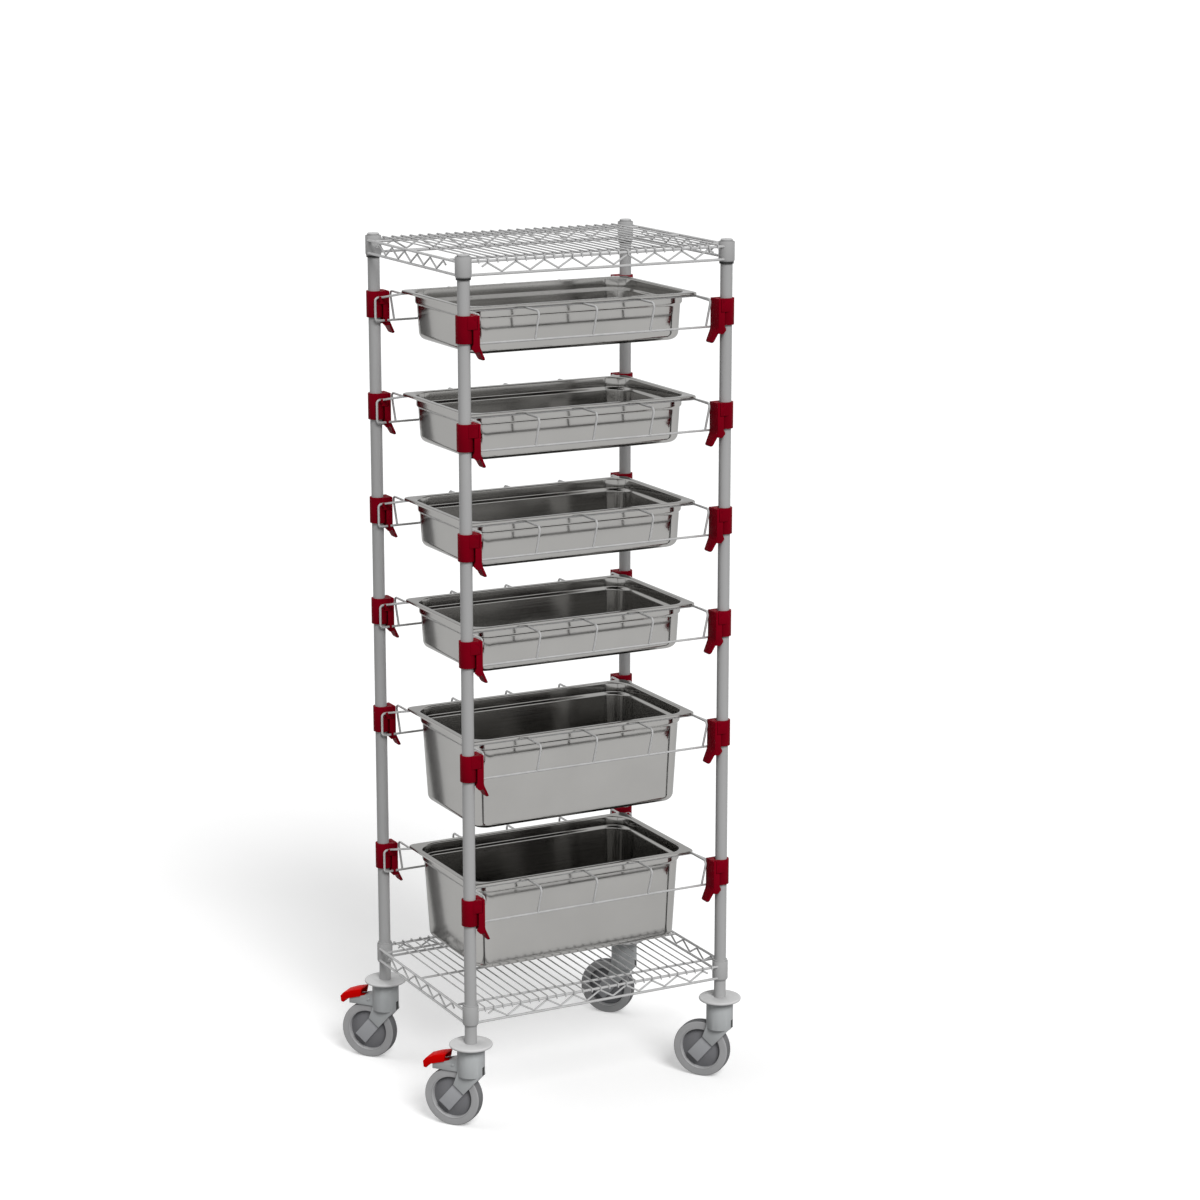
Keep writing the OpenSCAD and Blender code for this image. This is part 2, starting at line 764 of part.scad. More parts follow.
module left_front_lever_1() lever_at(left_front, 0);
module right_front_lever_1() lever_at(right_front, 0);
module left_rear_lever_1() lever_at(left_rear, 0);
module right_rear_lever_1() lever_at(right_rear, 0);
module left_front_lever_2() lever_at(left_front, 1);
module right_front_lever_2() lever_at(right_front, 1);
module left_rear_lever_2() lever_at(left_rear, 1);
module right_rear_lever_2() lever_at(right_rear, 1);
module left_front_lever_3() lever_at(left_front, 2);
module right_front_lever_3() lever_at(right_front, 2);
module left_rear_lever_3() lever_at(left_rear, 2);
module right_rear_lever_3() lever_at(right_rear, 2);
module left_front_lever_4() lever_at(left_front, 3);
module right_front_lever_4() lever_at(right_front, 3);
module left_rear_lever_4() lever_at(left_rear, 3);
module right_rear_lever_4() lever_at(right_rear, 3);
module left_front_lever_5() lever_at(left_front, 4);
module right_front_lever_5() lever_at(right_front, 4);
module left_rear_lever_5() lever_at(left_rear, 4);
module right_rear_lever_5() lever_at(right_rear, 4);
module left_front_lever_6() lever_at(left_front, 5);
module right_front_lever_6() lever_at(right_front, 5);
module left_rear_lever_6() lever_at(left_rear, 5);
module right_rear_lever_6() lever_at(right_rear, 5);

// Castors

module at_castor(c)
    translate([c.x * hx, c.y * hy, 0])
        rotate([0, 0, 90 + castor_angle])
            children();

module bumper_discs()
    color([0.8, 0.8, 0.8])
        for (c = corners)
            translate([c.x * hx, c.y * hy, castor_h - disc_h])
                rotate_extrude($fn = round_fn)
                    polygon([
                        [stem_r + seat_gap, -disc_ring_h],
                        [disc_ring_d / 2, -disc_ring_h],
                        [disc_ring_d / 2, 0],
                        [disc_d / 2 - disc_h / 3, 0],
                        [disc_d / 2, disc_h / 4],
                        [disc_d / 2, disc_h * 3 / 4],
                        [disc_d / 2 - disc_h / 4, disc_h],
                        [stem_r + seat_gap, disc_h]
                    ]);

module castor_stems()
    color([0.6, 0.6, 0.6])
        for (c = corners)
            translate([c.x * hx, c.y * hy, 0])
                rotate_extrude($fn = round_fn)
                    polygon([
                        [0, stem_low],
                        [stem_r, stem_low],
                        [stem_r, castor_h + seat_gap],
                        [post_bore_r - seat_gap, castor_h + seat_gap],
                        [post_bore_r - seat_gap, castor_h + stem_plug_h],
                        [0, castor_h + stem_plug_h]
                    ]);

// Point at a length up the leg from the axle, and beside its centre line
function on_leg(u, v) = [
    castor_trail - u * cos(leg_slope) + v * sin(leg_slope),
    wheel_r + u * sin(leg_slope) + v * cos(leg_slope)
];

module leg_outline()
    polygon([
        on_leg(pad_start, -leg_width / 2),
        on_leg(pad_start, leg_width / 2),
        [housing_r * 0.78, housing_low + leg_wall],
        [housing_r * 0.6, housing_top - leg_wall],
        [-housing_r * 0.6, housing_top - leg_wall],
        [-housing_r * 0.82, housing_low - leg_wall / 2]
    ]);

module pad_outline()
    polygon([
        on_leg(-pad_end, -leg_width / 2),
        on_leg(-pad_end, leg_width / 2),
        on_leg(pad_start + weld, leg_width / 2),
        on_leg(pad_start + weld, -leg_width / 2)
    ]);

module cowl()
    difference() {
        across(cowl_half)
            polygon([
                [0, cowl_low_z],
                [cowl_end_x, cowl_low_z],
                [cowl_end_x, cowl_low_z + cowl_end_h],
                [cowl_bend_x, cowl_low_z + cowl_bend_h],
                [0, cowl_low_z + cowl_root_h]
            ]);
        across(leg_in)
            polygon([
                [0, cowl_low_z - cut],
                [cowl_end_x + cut, cowl_low_z - cut],
                [cowl_end_x + cut, cowl_low_z + cowl_root_h],
                [cover_x, cowl_low_z + cowl_root_h],
                [cover_x, cowl_low_z + cover_h - cowl_wall],
                [0, cowl_low_z + cowl_root_h - cowl_wall]
            ]);
    }

module housing(c, braked)
    color([0.62, 0.63, 0.64])
        at_castor(c) {
            difference() {
                union() {
                    translate([0, 0, housing_low]) cylinder(r = housing_r, h = housing_h, $fn = round_fn);
                    across(leg_out) leg_outline();
                    if (braked) cowl();
                }
                bar_across(castor_trail, wheel_r, wheel_r + tread_clear, leg_in);
                translate([0, 0, stem_low - slide_gap])
                    cylinder(r = stem_r + bore_fit, h = housing_h, $fn = round_fn);
                translate([-housing_r - cut, -socket_w / 2, housing_low - socket_low])
                    cube([socket_depth + cut, socket_w, socket_h]);
                if (braked) bar_across(pedal_pin_x, pedal_pin_z, pedal_pin_r + bore_fit, pedal_half);
            }
            for (s = [-1, 1])
                translate([0, s * (pad_in + pad_out) / 2, 0]) across((pad_out - pad_in) / 2) pad_outline();
            bar_across(castor_trail, wheel_r, axle_r, pad_in + weld);
        }

module left_front_housing() housing(left_front, true);
module right_front_housing() housing(right_front, false);
module left_rear_housing() housing(left_rear, true);
module right_rear_housing() housing(right_rear, false);

// A tyre on a dished wheel centre
module wheel(c) {
    recess_r = wheel_recess_d / 2;
    hub_r = wheel_hub_d / 2;
    lip = side_clear;
    web = hub_half / 2;
    tread = [
        [recess_r + 2 * lip + seat_gap, wheel_half],
        [wheel_r - 3 * lip, wheel_half],
        [wheel_r - lip, wheel_half - lip / 2],
        [wheel_r - lip / 3, wheel_half - 3 * lip / 2],
        [wheel_r, wheel_half - 3 * lip]
    ];
    at_castor(c)
        translate([castor_trail, 0, wheel_r])
            rotate([90, 0, 0]) {
                color([0.58, 0.58, 0.58])
                    rotate_extrude($fn = round_fn)
                        polygon([
                            for (p = tread) [p.x, -p.y],
                            for (k = [len(tread) - 1:-1:0]) tread[k]
                        ]);
                color([0.5, 0.5, 0.52])
                    rotate_extrude($fn = round_fn)
                        polygon([
                            [axle_r + bore_fit, -hub_half],
                            [hub_r, -hub_half],
                            [hub_r, -web],
                            [pad_start, -web],
                            [recess_r, lip - wheel_half],
                            [recess_r + 2 * lip, lip / 3 - wheel_half],
                            [recess_r + 2 * lip, wheel_half - lip / 3],
                            [recess_r, wheel_half - lip],
                            [pad_start, web],
                            [hub_r, web],
                            [hub_r, hub_half],
                            [axle_r + bore_fit, hub_half]
                        ]);
            }
}

module left_front_wheel() wheel(left_front);
module right_front_wheel() wheel(right_front);
module left_rear_wheel() wheel(left_rear);
module right_rear_wheel() wheel(right_rear);

function pedal_point(share) = [pedal_x + share.x * pedal_length, cowl_low_z + share.y * pedal_rise];

module pedal(c)
    color([0.8, 0, 0])
        at_castor(c) {
            difference() {
                across(pedal_half) polygon([for (share = pedal_share) pedal_point(share)]);
                across(pedal_in)
                    polygon([
                        [pedal_x - cut, cowl_low_z - cut],
                        [pedal_point(pedal_tip_share).x, cowl_low_z - cut],
                        pedal_point(pedal_tip_share) - [0, pedal_wall],
                        pedal_point(pedal_share[2]) - [0, pedal_wall],
                        pedal_point(pedal_share[1]) - [cut, pedal_wall]
                    ]);
            }
            translate([pedal_pin_x - beam_low, -beam_half, pedal_pin_z - beam_low])
                cube([pedal_point(pedal_tip_share).x + weld - pedal_pin_x + beam_low, 2 * beam_half,
                    beam_low + beam_high]);
            translate([shoe_x, -beam_half, wheel_d + shoe_rise])
                cube([shoe_length, 2 * beam_half, pedal_pin_z - wheel_d - shoe_rise]);
            bar_across(pedal_pin_x, pedal_pin_z, pedal_pin_r, cowl_half);
        }

module left_front_pedal() pedal(left_front);
module left_rear_pedal() pedal(left_rear);

// Pieces by name

left_front_post();
right_front_post();
left_rear_post();
right_rear_post();
post_caps();
split_sleeves();
bottom_shelf_frame();
bottom_shelf_deck();
top_shelf_frame();
top_shelf_deck();
runners_1();
runners_2();
runners_3();
runners_4();
runners_5();
runners_6();
tray_1();
tray_2();
tray_3();
tray_4();
tray_5();
tray_6();
front_clamp_bodies();
rear_clamp_bodies();
left_front_lever_1();
right_front_lever_1();
left_rear_lever_1();
right_rear_lever_1();
left_front_lever_2();
right_front_lever_2();
left_rear_lever_2();
right_rear_lever_2();
left_front_lever_3();
right_front_lever_3();
left_rear_lever_3();
right_rear_lever_3();
left_front_lever_4();
right_front_lever_4();
left_rear_lever_4();
right_rear_lever_4();
left_front_lever_5();
right_front_lever_5();
left_rear_lever_5();
right_rear_lever_5();
left_front_lever_6();
right_front_lever_6();
left_rear_lever_6();
right_rear_lever_6();
bumper_discs();
castor_stems();
left_front_housing();
right_front_housing();
left_rear_housing();
right_rear_housing();
left_front_wheel();
right_front_wheel();
left_rear_wheel();
right_rear_wheel();
left_front_pedal();
left_rear_pedal();
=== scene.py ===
"""Dresses the tray trolley: wires, trays, clamps and castors get their finished shapes,
and every surface gets its finish."""

import bmesh
import bpy
import numpy as np
from bpy.props import FloatProperty, FloatVectorProperty, IntProperty, PointerProperty
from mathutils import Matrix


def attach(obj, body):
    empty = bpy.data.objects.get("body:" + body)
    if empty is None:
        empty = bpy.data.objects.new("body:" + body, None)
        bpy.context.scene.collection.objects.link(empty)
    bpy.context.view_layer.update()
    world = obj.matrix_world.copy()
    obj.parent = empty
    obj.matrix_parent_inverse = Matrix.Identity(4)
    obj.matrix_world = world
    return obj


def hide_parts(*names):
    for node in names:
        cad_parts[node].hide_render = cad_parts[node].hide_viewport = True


bl_info = {
    "name": "Tray trolley",
    "version": (1, 0, 0),
    "blender": (4, 5, 0),
    "location": "3D View > Sidebar > Trolley",
    "description": "Builds the finished pieces of a wire shelf trolley with hung trays",
    "category": "Add Mesh",
}

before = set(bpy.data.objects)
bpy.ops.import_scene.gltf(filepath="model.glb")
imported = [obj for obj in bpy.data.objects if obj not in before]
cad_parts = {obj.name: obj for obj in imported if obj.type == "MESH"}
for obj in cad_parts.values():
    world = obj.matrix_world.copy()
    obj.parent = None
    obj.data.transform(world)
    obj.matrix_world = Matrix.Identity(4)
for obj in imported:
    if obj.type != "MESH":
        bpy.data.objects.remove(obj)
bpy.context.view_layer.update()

# Places that the model gives, in metres
HALF_X = 0.298
HALF_Y = 0.220
LEVELS = (1.704, 1.488, 1.265, 1.045, 0.806, 0.498)
DEPTHS = (0.100, 0.100, 0.100, 0.100, 0.200, 0.200)
SHELVES = {"bottom": 0.267, "top": 1.820}
CORNERS = {
    "left_front": (-1, -1),
    "right_front": (1, -1),
    "left_rear": (-1, 1),
    "right_rear": (1, 1),
}
COLLAR_HEIGHT = 0.042
TRAY_LIFT = 0.0062
DISC_Z = 0.179
SLEEVE_SPLIT_Z = 1.0

# Castors: their heading, and distances behind the post along it
TRAIL = np.radians(130.0)
AXLE_BACK, AXLE_Z = 0.040, 0.0625
PEDAL_PIN_BACK, PEDAL_PIN_Z = 0.034, 0.137


class WireSizes(bpy.types.PropertyGroup):
    """Sizes of the bent wires"""

    runner_radius: FloatProperty(
        name="Runner wire radius", description="Radius of the wire that carries the trays",
        default=0.0024, unit="LENGTH")
    runner_bend: FloatProperty(
        name="Runner bend", description="Bend radius of the runner loops",
        default=0.007, unit="LENGTH")
    hook_bend: FloatProperty(
        name="Hook bend", description="Bend radius at the outer end of a hook",
        default=0.008, unit="LENGTH")
    edge_radius: FloatProperty(
        name="Edge wire radius", description="Radius of the straight wires round a shelf",
        default=0.0028, unit="LENGTH")
    zigzag_radius: FloatProperty(
        name="Zigzag wire radius", description="Radius of the zigzag between them",
        default=0.0020, unit="LENGTH")
    zigzag_bend: FloatProperty(
        name="Zigzag bend", description="Bend radius of the zigzag at its peaks",
        default=0.0045, unit="LENGTH")
    deck_radius: FloatProperty(
        name="Deck wire radius", description="Radius of the deck wires",
        default=0.0016, unit="LENGTH")
    cross_radius: FloatProperty(
        name="Cross wire radius", description="Radius of the three wires under the deck",
        default=0.0025, unit="LENGTH")
    sides: IntProperty(
        name="Sides", description="Faces round a wire", default=14, min=6, max=32)
    steel: FloatVectorProperty(
        name="Wire colour", description="Colour of the plated wires",
        subtype="COLOR", default=(0.50, 0.50, 0.50), min=0.0, max=1.0)


class TraySizes(bpy.types.PropertyGroup):
    """Sizes of the pressed trays"""

    length: FloatProperty(
        name="Length", description="Length over the rim", default=0.530, unit="LENGTH")
    width: FloatProperty(
        name="Width", description="Width over the rim", default=0.325, unit="LENGTH")
    rim: FloatProperty(
        name="Rim", description="Width of the flat rim", default=0.0125, unit="LENGTH")
    sheet: FloatProperty(
        name="Sheet", description="Thickness of the sheet", default=0.0009, unit="LENGTH")
    steel: FloatVectorProperty(
        name="Tray colour", description="Colour of the stainless sheet",
        subtype="COLOR", default=(0.345, 0.34, 0.33), min=0.0, max=1.0)


class PlasticColours(bpy.types.PropertyGroup):
    """Colours of the moulded pieces and the posts"""

    post: FloatVectorProperty(
        name="Post", description="Colour of the plated posts",
        subtype="COLOR", default=(0.41, 0.41, 0.41), min=0.0, max=1.0)
    clamp: FloatVectorProperty(
        name="Clamp", description="Colour of the clamps and their levers",
        subtype="COLOR", default=(0.19, 0.0, 0.007), min=0.0, max=1.0)
    sleeve: FloatVectorProperty(
        name="Sleeve", description="Colour of the split sleeves",
        subtype="COLOR", default=(0.02, 0.02, 0.02), min=0.0, max=1.0)
    disc: FloatVectorProperty(
        name="Disc", description="Colour of the bumper discs",
        subtype="COLOR", default=(0.60, 0.60, 0.60), min=0.0, max=1.0)
    castor: FloatVectorProperty(
        name="Castor", description="Colour of the castor housings",
        subtype="COLOR", default=(0.45, 0.465, 0.47), min=0.0, max=1.0)
    tyre: FloatVectorProperty(
        name="Tyre", description="Colour of the tyres",
        subtype="COLOR", default=(0.40, 0.40, 0.405), min=0.0, max=1.0)
    # The tread's colour is darker than the tyre's sides: painted shade where the tread turns away
    # from the light.
    tread: FloatVectorProperty(
        name="Tread", description="Colour of the tyres' treads",
        subtype="COLOR", default=(0.17, 0.17, 0.175), min=0.0, max=1.0)
    pad: FloatVectorProperty(
        name="Leg pad", description="Colour of the pads over the axle",
        subtype="COLOR", default=(0.38, 0.385, 0.40), min=0.0, max=1.0)
    cap: FloatVectorProperty(
        name="Cap", description="Colour of the caps on the posts",
        subtype="COLOR", default=(0.45, 0.45, 0.45), min=0.0, max=1.0)
    wheel: FloatVectorProperty(
        name="Wheel centre", description="Colour of the wheel centres",
        subtype="COLOR", default=(0.19, 0.19, 0.20), min=0.0, max=1.0)
    pedal: FloatVectorProperty(
        name="Pedal", description="Colour of the brake pedals",
        subtype="COLOR", default=(0.62, 0.0, 0.0), min=0.0, max=1.0)


class StageSettings(bpy.types.PropertyGroup):
    """Camera, floor and light"""

    camera_place: FloatVectorProperty(
        name="Camera", description="Place of the camera", subtype="TRANSLATION",
        size=3, default=(-2.862, -5.689, 2.517))
    camera_pitch: FloatProperty(
        name="Pitch", description="Angle below the level", subtype="ANGLE",
        default=float(np.radians(12.95)))
    camera_heading: FloatProperty(
        name="Heading", description="Angle to the right of the long side's square",
        subtype="ANGLE", default=float(np.radians(27.665)))
    lens: FloatProperty(
        name="Lens", description="Focal length on a 36 mm sensor, in millimetres",
        default=92.4)
    floor: FloatVectorProperty(
        name="Floor", description="Colour of the floor", subtype="COLOR",
        default=(0.75, 0.75, 0.75), min=0.0, max=1.0)
    glow: FloatProperty(
        name="Floor glow", description="How much the floor is lifted towards white",
        default=0.35, min=0.0, max=1.0)
    bounce: FloatProperty(
        name="Floor bounce", description="Share of light that the floor throws back upwards",
        default=0.25, min=0.0, max=1.0)


# ---------------------------------------------------------------- surfaces

# Points this close are one, faces this flat are joined, and edges this sharp are rounded
SAME_POINT = 2e-6
FLAT_ANGLE = 0.02
SHARP_EDGE = 0.5

# Widths of rounded edges
ROUND_CAP = 0.0005
# Rounding of the dark block that paints the shade in a housing's slot
ROUND_SLOT_SHADE = 0.0006
ROUND_CLAMP = 0.0008
ROUND_LEVER = 0.0009
ROUND_MOULDED = 0.0012

# Edges at a wider angle than this stay sharp: on most pieces, and on pressed and turned ones
SMOOTH_ANGLE = 0.6
WIDE_SMOOTH = 0.9

# Faces round turned pieces
COLLAR_SIDES, DISC_SIDES, WHEEL_SIDES, PIN_SIDES = 72, 96, 112, 24

# The direction that a wire's faces are set out from, and how far its ends are rounded off,
# as a share of its radius
WIRE_REFERENCE = (0.46, 0.39, 0.798)
END_ROUND = 0.3


def unit(v):
    """Each vector divided by its length."""
    return v / np.linalg.norm(v, axis=-1, keepdims=True)


def bent(points, radius, steps=6, closed=False):
    """A path whose corners are arcs. At a corner the arc's centre lies on the line that
    halves the angle, radius / sin(half the angle) away, and each point is the circular
    blend of the two tangent points: from sin((1 - t) s) + to sin(t s), over sin(s)."""
    p = np.asarray(points, float)
    if closed:
        a, b, c = np.roll(p, 1, 0), p, np.roll(p, -1, 0)
    else:
        a, b, c = p[:-2], p[1:-1], p[2:]
    u, w = unit(a - b), unit(c - b)
    half = np.arccos(np.clip((u * w).sum(1), -1, 1))[:, None] / 2
    centre = b + unit(u + w) * radius / np.sin(half)
    start = b + u * radius / np.tan(half) - centre
    end = b + w * radius / np.tan(half) - centre
    s = (np.pi - 2 * half)[:, None]
    t = np.linspace(0, 1, steps + 1)[None, :, None]
    blend = start[:, None] * np.sin((1 - t) * s) + end[:, None] * np.sin(t * s)
    arcs = (centre[:, None] + blend / np.sin(s)).reshape(-1, 3)
    return arcs if closed else np.vstack([p[:1], arcs, p[-1:]])


class Shell:
    """Gathers grids and fans of points into one mesh."""

    def __init__(self):
        self.points, self.quads, self.tris, self.count = [], [], [], 0

    def grid(self, rings, wrap_rings=False):
        """Rings of points, shape (rings, points, 3), each ring closed on itself, joined
        by quads to the next. Returns the number of the first point."""
        r, k = rings.shape[:2]
        first = self.count
        i = np.arange(r if wrap_rings else r - 1)[:, None]
        j = np.arange(k)[None, :]
        i2, j2 = (i + 1) % r, (j + 1) % k
        q = np.stack([i * k + j, i * k + j2, i2 * k + j2, i2 * k + j], -1).reshape(-1, 4)
        self.points.append(rings.reshape(-1, 3))
        self.quads.append(q + first)
        self.count += r * k
        return first

    def cap(self, ring_first, k, centre, flip):
        """A fan from a ring of k points to one centre point."""
        j = np.arange(k)
        a, b = ring_first + j, ring_first + (j + 1) % k
        c = np.full(k, self.count)
        self.points.append(np.asarray(centre, float)[None])
        self.tris.append(np.stack([b, a, c] if flip else [a, b, c], -1))
        self.count += 1

    def tube(self, path, radius, sides, closed=False):
        """A round wire along a path. The ring at each point lies across the mean of its two
        runs, at radius, on axes that come from one fixed direction, so it never twists."""
        p = np.asarray(path, float)
        if closed:
            t = unit(unit(np.roll(p, -1, 0) - p) + unit(p - np.roll(p, 1, 0)))
        else:
            d = unit(np.diff(p, axis=0))
            t = unit(np.vstack([d[:1], d[:-1] + d[1:], d[-1:]]))
        side = unit(np.cross(t, np.array(WIRE_REFERENCE)))
        up = np.cross(side, t)
        a = np.linspace(0, 2 * np.pi, sides, endpoint=False)
        spoke = np.cos(a)[None, :, None] * side[:, None] + np.sin(a)[None, :, None] * up[:, None]
        if closed:
            self.grid(p[:, None] + radius * spoke, True)
            return
        # Each end is rounded off by a smaller ring before its fan
        e = radius * END_ROUND
        rings = p[:, None] + radius * spoke
        head = p[:1, None] + (radius - e) * spoke[:1]
        tail = p[-1:, None] + (radius - e) * spoke[-1:]
        rings[0] += t[0] * e
        rings[-1] -= t[-1] * e
        rings = np.concatenate([head, rings, tail])
        first = self.grid(rings)
        self.cap(first, sides, p[0], True)
        self.cap(first + (len(rings) - 1) * sides, sides, p[-1], False)

    def lathe(self, profile, centre, sides, axis="z", turn=0.0):
        """A profile of radius and height turned about an axis through centre: Z, or the
        level direction that lies turn from Y. A profile that ends at radius 0 is closed."""
        prof = np.asarray(profile, float)
        a = np.linspace(0, 2 * np.pi, sides, endpoint=False)
        r, h = prof[:, 0][:, None], prof[:, 1][:, None]
        x, y, z = r * np.cos(a), r * np.sin(a), h + 0 * a
        if axis == "z":
            pts = np.stack([x, y, z], -1)
        else:
            # Turned so that heights run along the direction (-sin turn, cos turn, 0)
            level_x = x * np.cos(turn) - z * np.sin(turn)
            level_y = x * np.sin(turn) + z * np.cos(turn)
            pts = np.stack([level_x, level_y, -y], -1)
        pts = pts + np.asarray(centre, float)
        inner = np.where(prof[:, 0] > 1e-9)[0]
        first = self.grid(pts[inner], wrap_rings=len(inner) == len(prof))
        if len(inner) != len(prof):
            if inner[0] > 0:
                self.cap(first, sides, pts[0, 0], True)
            if inner[-1] < len(prof) - 1:
                self.cap(first + (len(inner) - 1) * sides, sides, pts[-1, 0], False)

    def mesh(self, name):
        """The gathered points and faces as a smooth mesh."""
        me = bpy.data.meshes.new(name)
        pts = np.vstack(self.points)
        quads = np.vstack(self.quads)
        tris = np.vstack(self.tris) if self.tris else np.zeros((0, 3), int)
        loops = np.concatenate([quads.ravel(), tris.ravel()]).astype(np.int32)
        sizes = np.concatenate([np.full(len(quads), 4), np.full(len(tris), 3)]).astype(np.int32)
        starts = np.concatenate([[0], np.cumsum(sizes)[:-1]]).astype(np.int32)
        me.vertices.add(len(pts))
        me.vertices.foreach_set("co", pts.astype(np.float32).ravel())
        me.loops.add(len(loops))
        me.loops.foreach_set("vertex_index", loops)
        me.polygons.add(len(sizes))
        me.polygons.foreach_set("loop_start", starts)
        me.polygons.foreach_set("loop_total", sizes)
        me.update(calc_edges=True)
        me.validate()
        me.polygons.foreach_set("use_smooth", np.ones(len(me.polygons), bool))
        return me


def outward(me):
    """Turns every closed part of a mesh so that its faces point outwards."""
    bm = bmesh.new()
    bm.from_mesh(me)
    bmesh.ops.recalc_face_normals(bm, faces=bm.faces)
    bm.to_mesh(me)
    bm.free()


def place(name, me, look, body, nodes, smooth_angle=SMOOTH_ANGLE):
    """Adds a finished mesh as a piece that rides on a body and stands for CAD nodes."""
    outward(me)
    me.materials.append(finish(look))
    me.set_sharp_from_angle(angle=smooth_angle)
    piece = bpy.data.objects.new(name, me)
    bpy.context.scene.collection.objects.link(piece)
    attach(piece, body)
    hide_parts(*nodes)


def rounded(name, me, width, segments=2):
    """A mesh with its sharp edges rounded off."""
    piece = bpy.data.objects.new(name, me)
    bpy.context.scene.collection.objects.link(piece)
    bevel = piece.modifiers.new("round", "BEVEL")
    bevel.width = width
    bevel.segments = segments
    bevel.limit_method = "ANGLE"
    bevel.angle_limit = SHARP_EDGE
    graph = bpy.context.evaluated_depsgraph_get()
    done = bpy.data.meshes.new_from_object(piece.evaluated_get(graph))
    bpy.data.objects.remove(piece)
    done.name = name
    done.polygons.foreach_set("use_smooth", np.ones(len(done.polygons), bool))
    return done


def merged(node):
    """A copy of a CAD node's mesh, and its editable form with doubled points merged."""
    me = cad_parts[node].data.copy()
    me.materials.clear()
    bm = bmesh.new()
    bm.from_mesh(me)
    bmesh.ops.remove_doubles(bm, verts=bm.verts, dist=SAME_POINT)
    return me, bm


def written(bm, me):
    """Writes the editable form back to its mesh, and hands the mesh back."""
    bm.to_mesh(me)
    bm.free()
    return me


def band_of(node, low, high):
    """The solids of a CAD node that lie between two heights, as a mesh of their own."""
    me, bm = merged(node)
    outside = [v for v in bm.verts if not low < v.co.z < high]
    bmesh.ops.delete(bm, geom=outside, context="VERTS")
    written(bm, me).polygons.foreach_set("use_smooth", np.ones(len(me.polygons), bool))
    return me


def softened(node, width):
    """A copy of a CAD node with its flat faces joined and its sharp edges rounded."""
    me, bm = merged(node)
    bmesh.ops.dissolve_limit(bm, angle_limit=FLAT_ANGLE, verts=bm.verts, edges=bm.edges)
    return rounded("soft_" + node, written(bm, me), width)


# ---------------------------------------------------------------- finishes

NOISE_SPAN = (0.3, 0.7)


class Finish:
    """A Principled material and the few nodes that shape it."""

    def __init__(self, name, colour, metallic, roughness, gloss=0.5):
        self.material = bpy.data.materials.new(name)
        self.material.use_nodes = True
        self.tree = self.material.node_tree
        self.shader = self.tree.nodes["Principled BSDF"]
        self.shader.inputs["Base Color"].default_value = (*colour, 1)
        self.shader.inputs["Metallic"].default_value = metallic
        self.shader.inputs["Roughness"].default_value = roughness
        self.shader.inputs["Specular IOR Level"].default_value = gloss
        self.colour = colour
        self.place = self.node("ShaderNodeTexCoord").outputs["Object"]
        self.height = None

    def node(self, kind, **settings):
        made = self.tree.nodes.new(kind)
        for key, value in settings.items():
            setattr(made, key, value)
        return made

    def link(self, a, b):
        self.tree.links.new(a, b)

    def noise(self, scale, stretch=(1, 1, 1), detail=4):
        """Noise on object coordinates, each axis multiplied by its stretch."""
        mapping = self.node("ShaderNodeMapping")
        mapping.inputs["Scale"].default_value = stretch
        self.link(self.place, mapping.inputs["Vector"])
        noise = self.node("ShaderNodeTexNoise")
        noise.inputs["Scale"].default_value = scale
        noise.inputs["Detail"].default_value = detail
        self.link(mapping.outputs["Vector"], noise.inputs["Vector"])
        return noise.outputs["Fac"]

    def spread(self, value, low, high):
        """Noise, most of which lies within NOISE_SPAN, spread over low..high."""
        scale = self.node("ShaderNodeMapRange")
        scale.inputs["From Min"].default_value = NOISE_SPAN[0]
        scale.inputs["From Max"].default_value = NOISE_SPAN[1]
        scale.inputs["To Min"].default_value = low
        scale.inputs["To Max"].default_value = high
        self.link(value, scale.inputs["Value"])
        return scale.outputs["Result"]

    def tint(self, value, amount):
        """Colour that varies by amount either side of the base colour."""
        dark = [c * (1 - amount) for c in self.colour]
        light = [min(1.0, c * (1 + amount)) for c in self.colour]
        mix = self.node("ShaderNodeMix", data_type="RGBA")
        share, first, second, blend = (
            mix.inputs[0], mix.inputs[6], mix.inputs[7], mix.outputs[2])
        first.default_value = (*dark, 1)
        second.default_value = (*light, 1)
        self.link(self.spread(value, 0.0, 1.0), share)
        self.link(blend, self.shader.inputs["Base Color"])
        return self

    def rough(self, value, low, high):
        """Roughness that varies between two values."""
        self.link(self.spread(value, low, high), self.shader.inputs["Roughness"])
        return self

    def bump(self, value, distance):
        """A bump of the given height, over any bump made before it."""
        bump = self.node("ShaderNodeBump")
        bump.inputs["Distance"].default_value = distance
        self.link(value, bump.inputs["Height"])
        if self.height:
            self.link(self.height, bump.inputs["Normal"])
        self.height = bump.outputs["Normal"]
        self.link(self.height, self.shader.inputs["Normal"])
        return self


FINISHES = {}


def plated_wire():
    """Bright plated wire: soft grey metal with faint blotches."""
    f = Finish("plated_wire", tuple(bpy.context.scene.trolley_wires.steel), 0.35, 0.4, 0.2)
    blotch = f.noise(60, detail=5)
    f.tint(blotch, 0.07).rough(f.noise(220, detail=3), 0.32, 0.46)
    return f.bump(f.noise(900, detail=2), 0.00002)


def plated_post():
    """Plated tube with faint drawn lines along its length."""
    f = Finish("plated_post", tuple(bpy.context.scene.trolley_colours.post), 0.05, 0.5, 0.1)
    lines = f.noise(420, stretch=(1, 1, 0.012), detail=3)
    f.tint(f.noise(9, stretch=(1, 1, 0.25), detail=4), 0.05)
    f.rough(lines, 0.34, 0.46)
    return f.bump(lines, 0.000015)


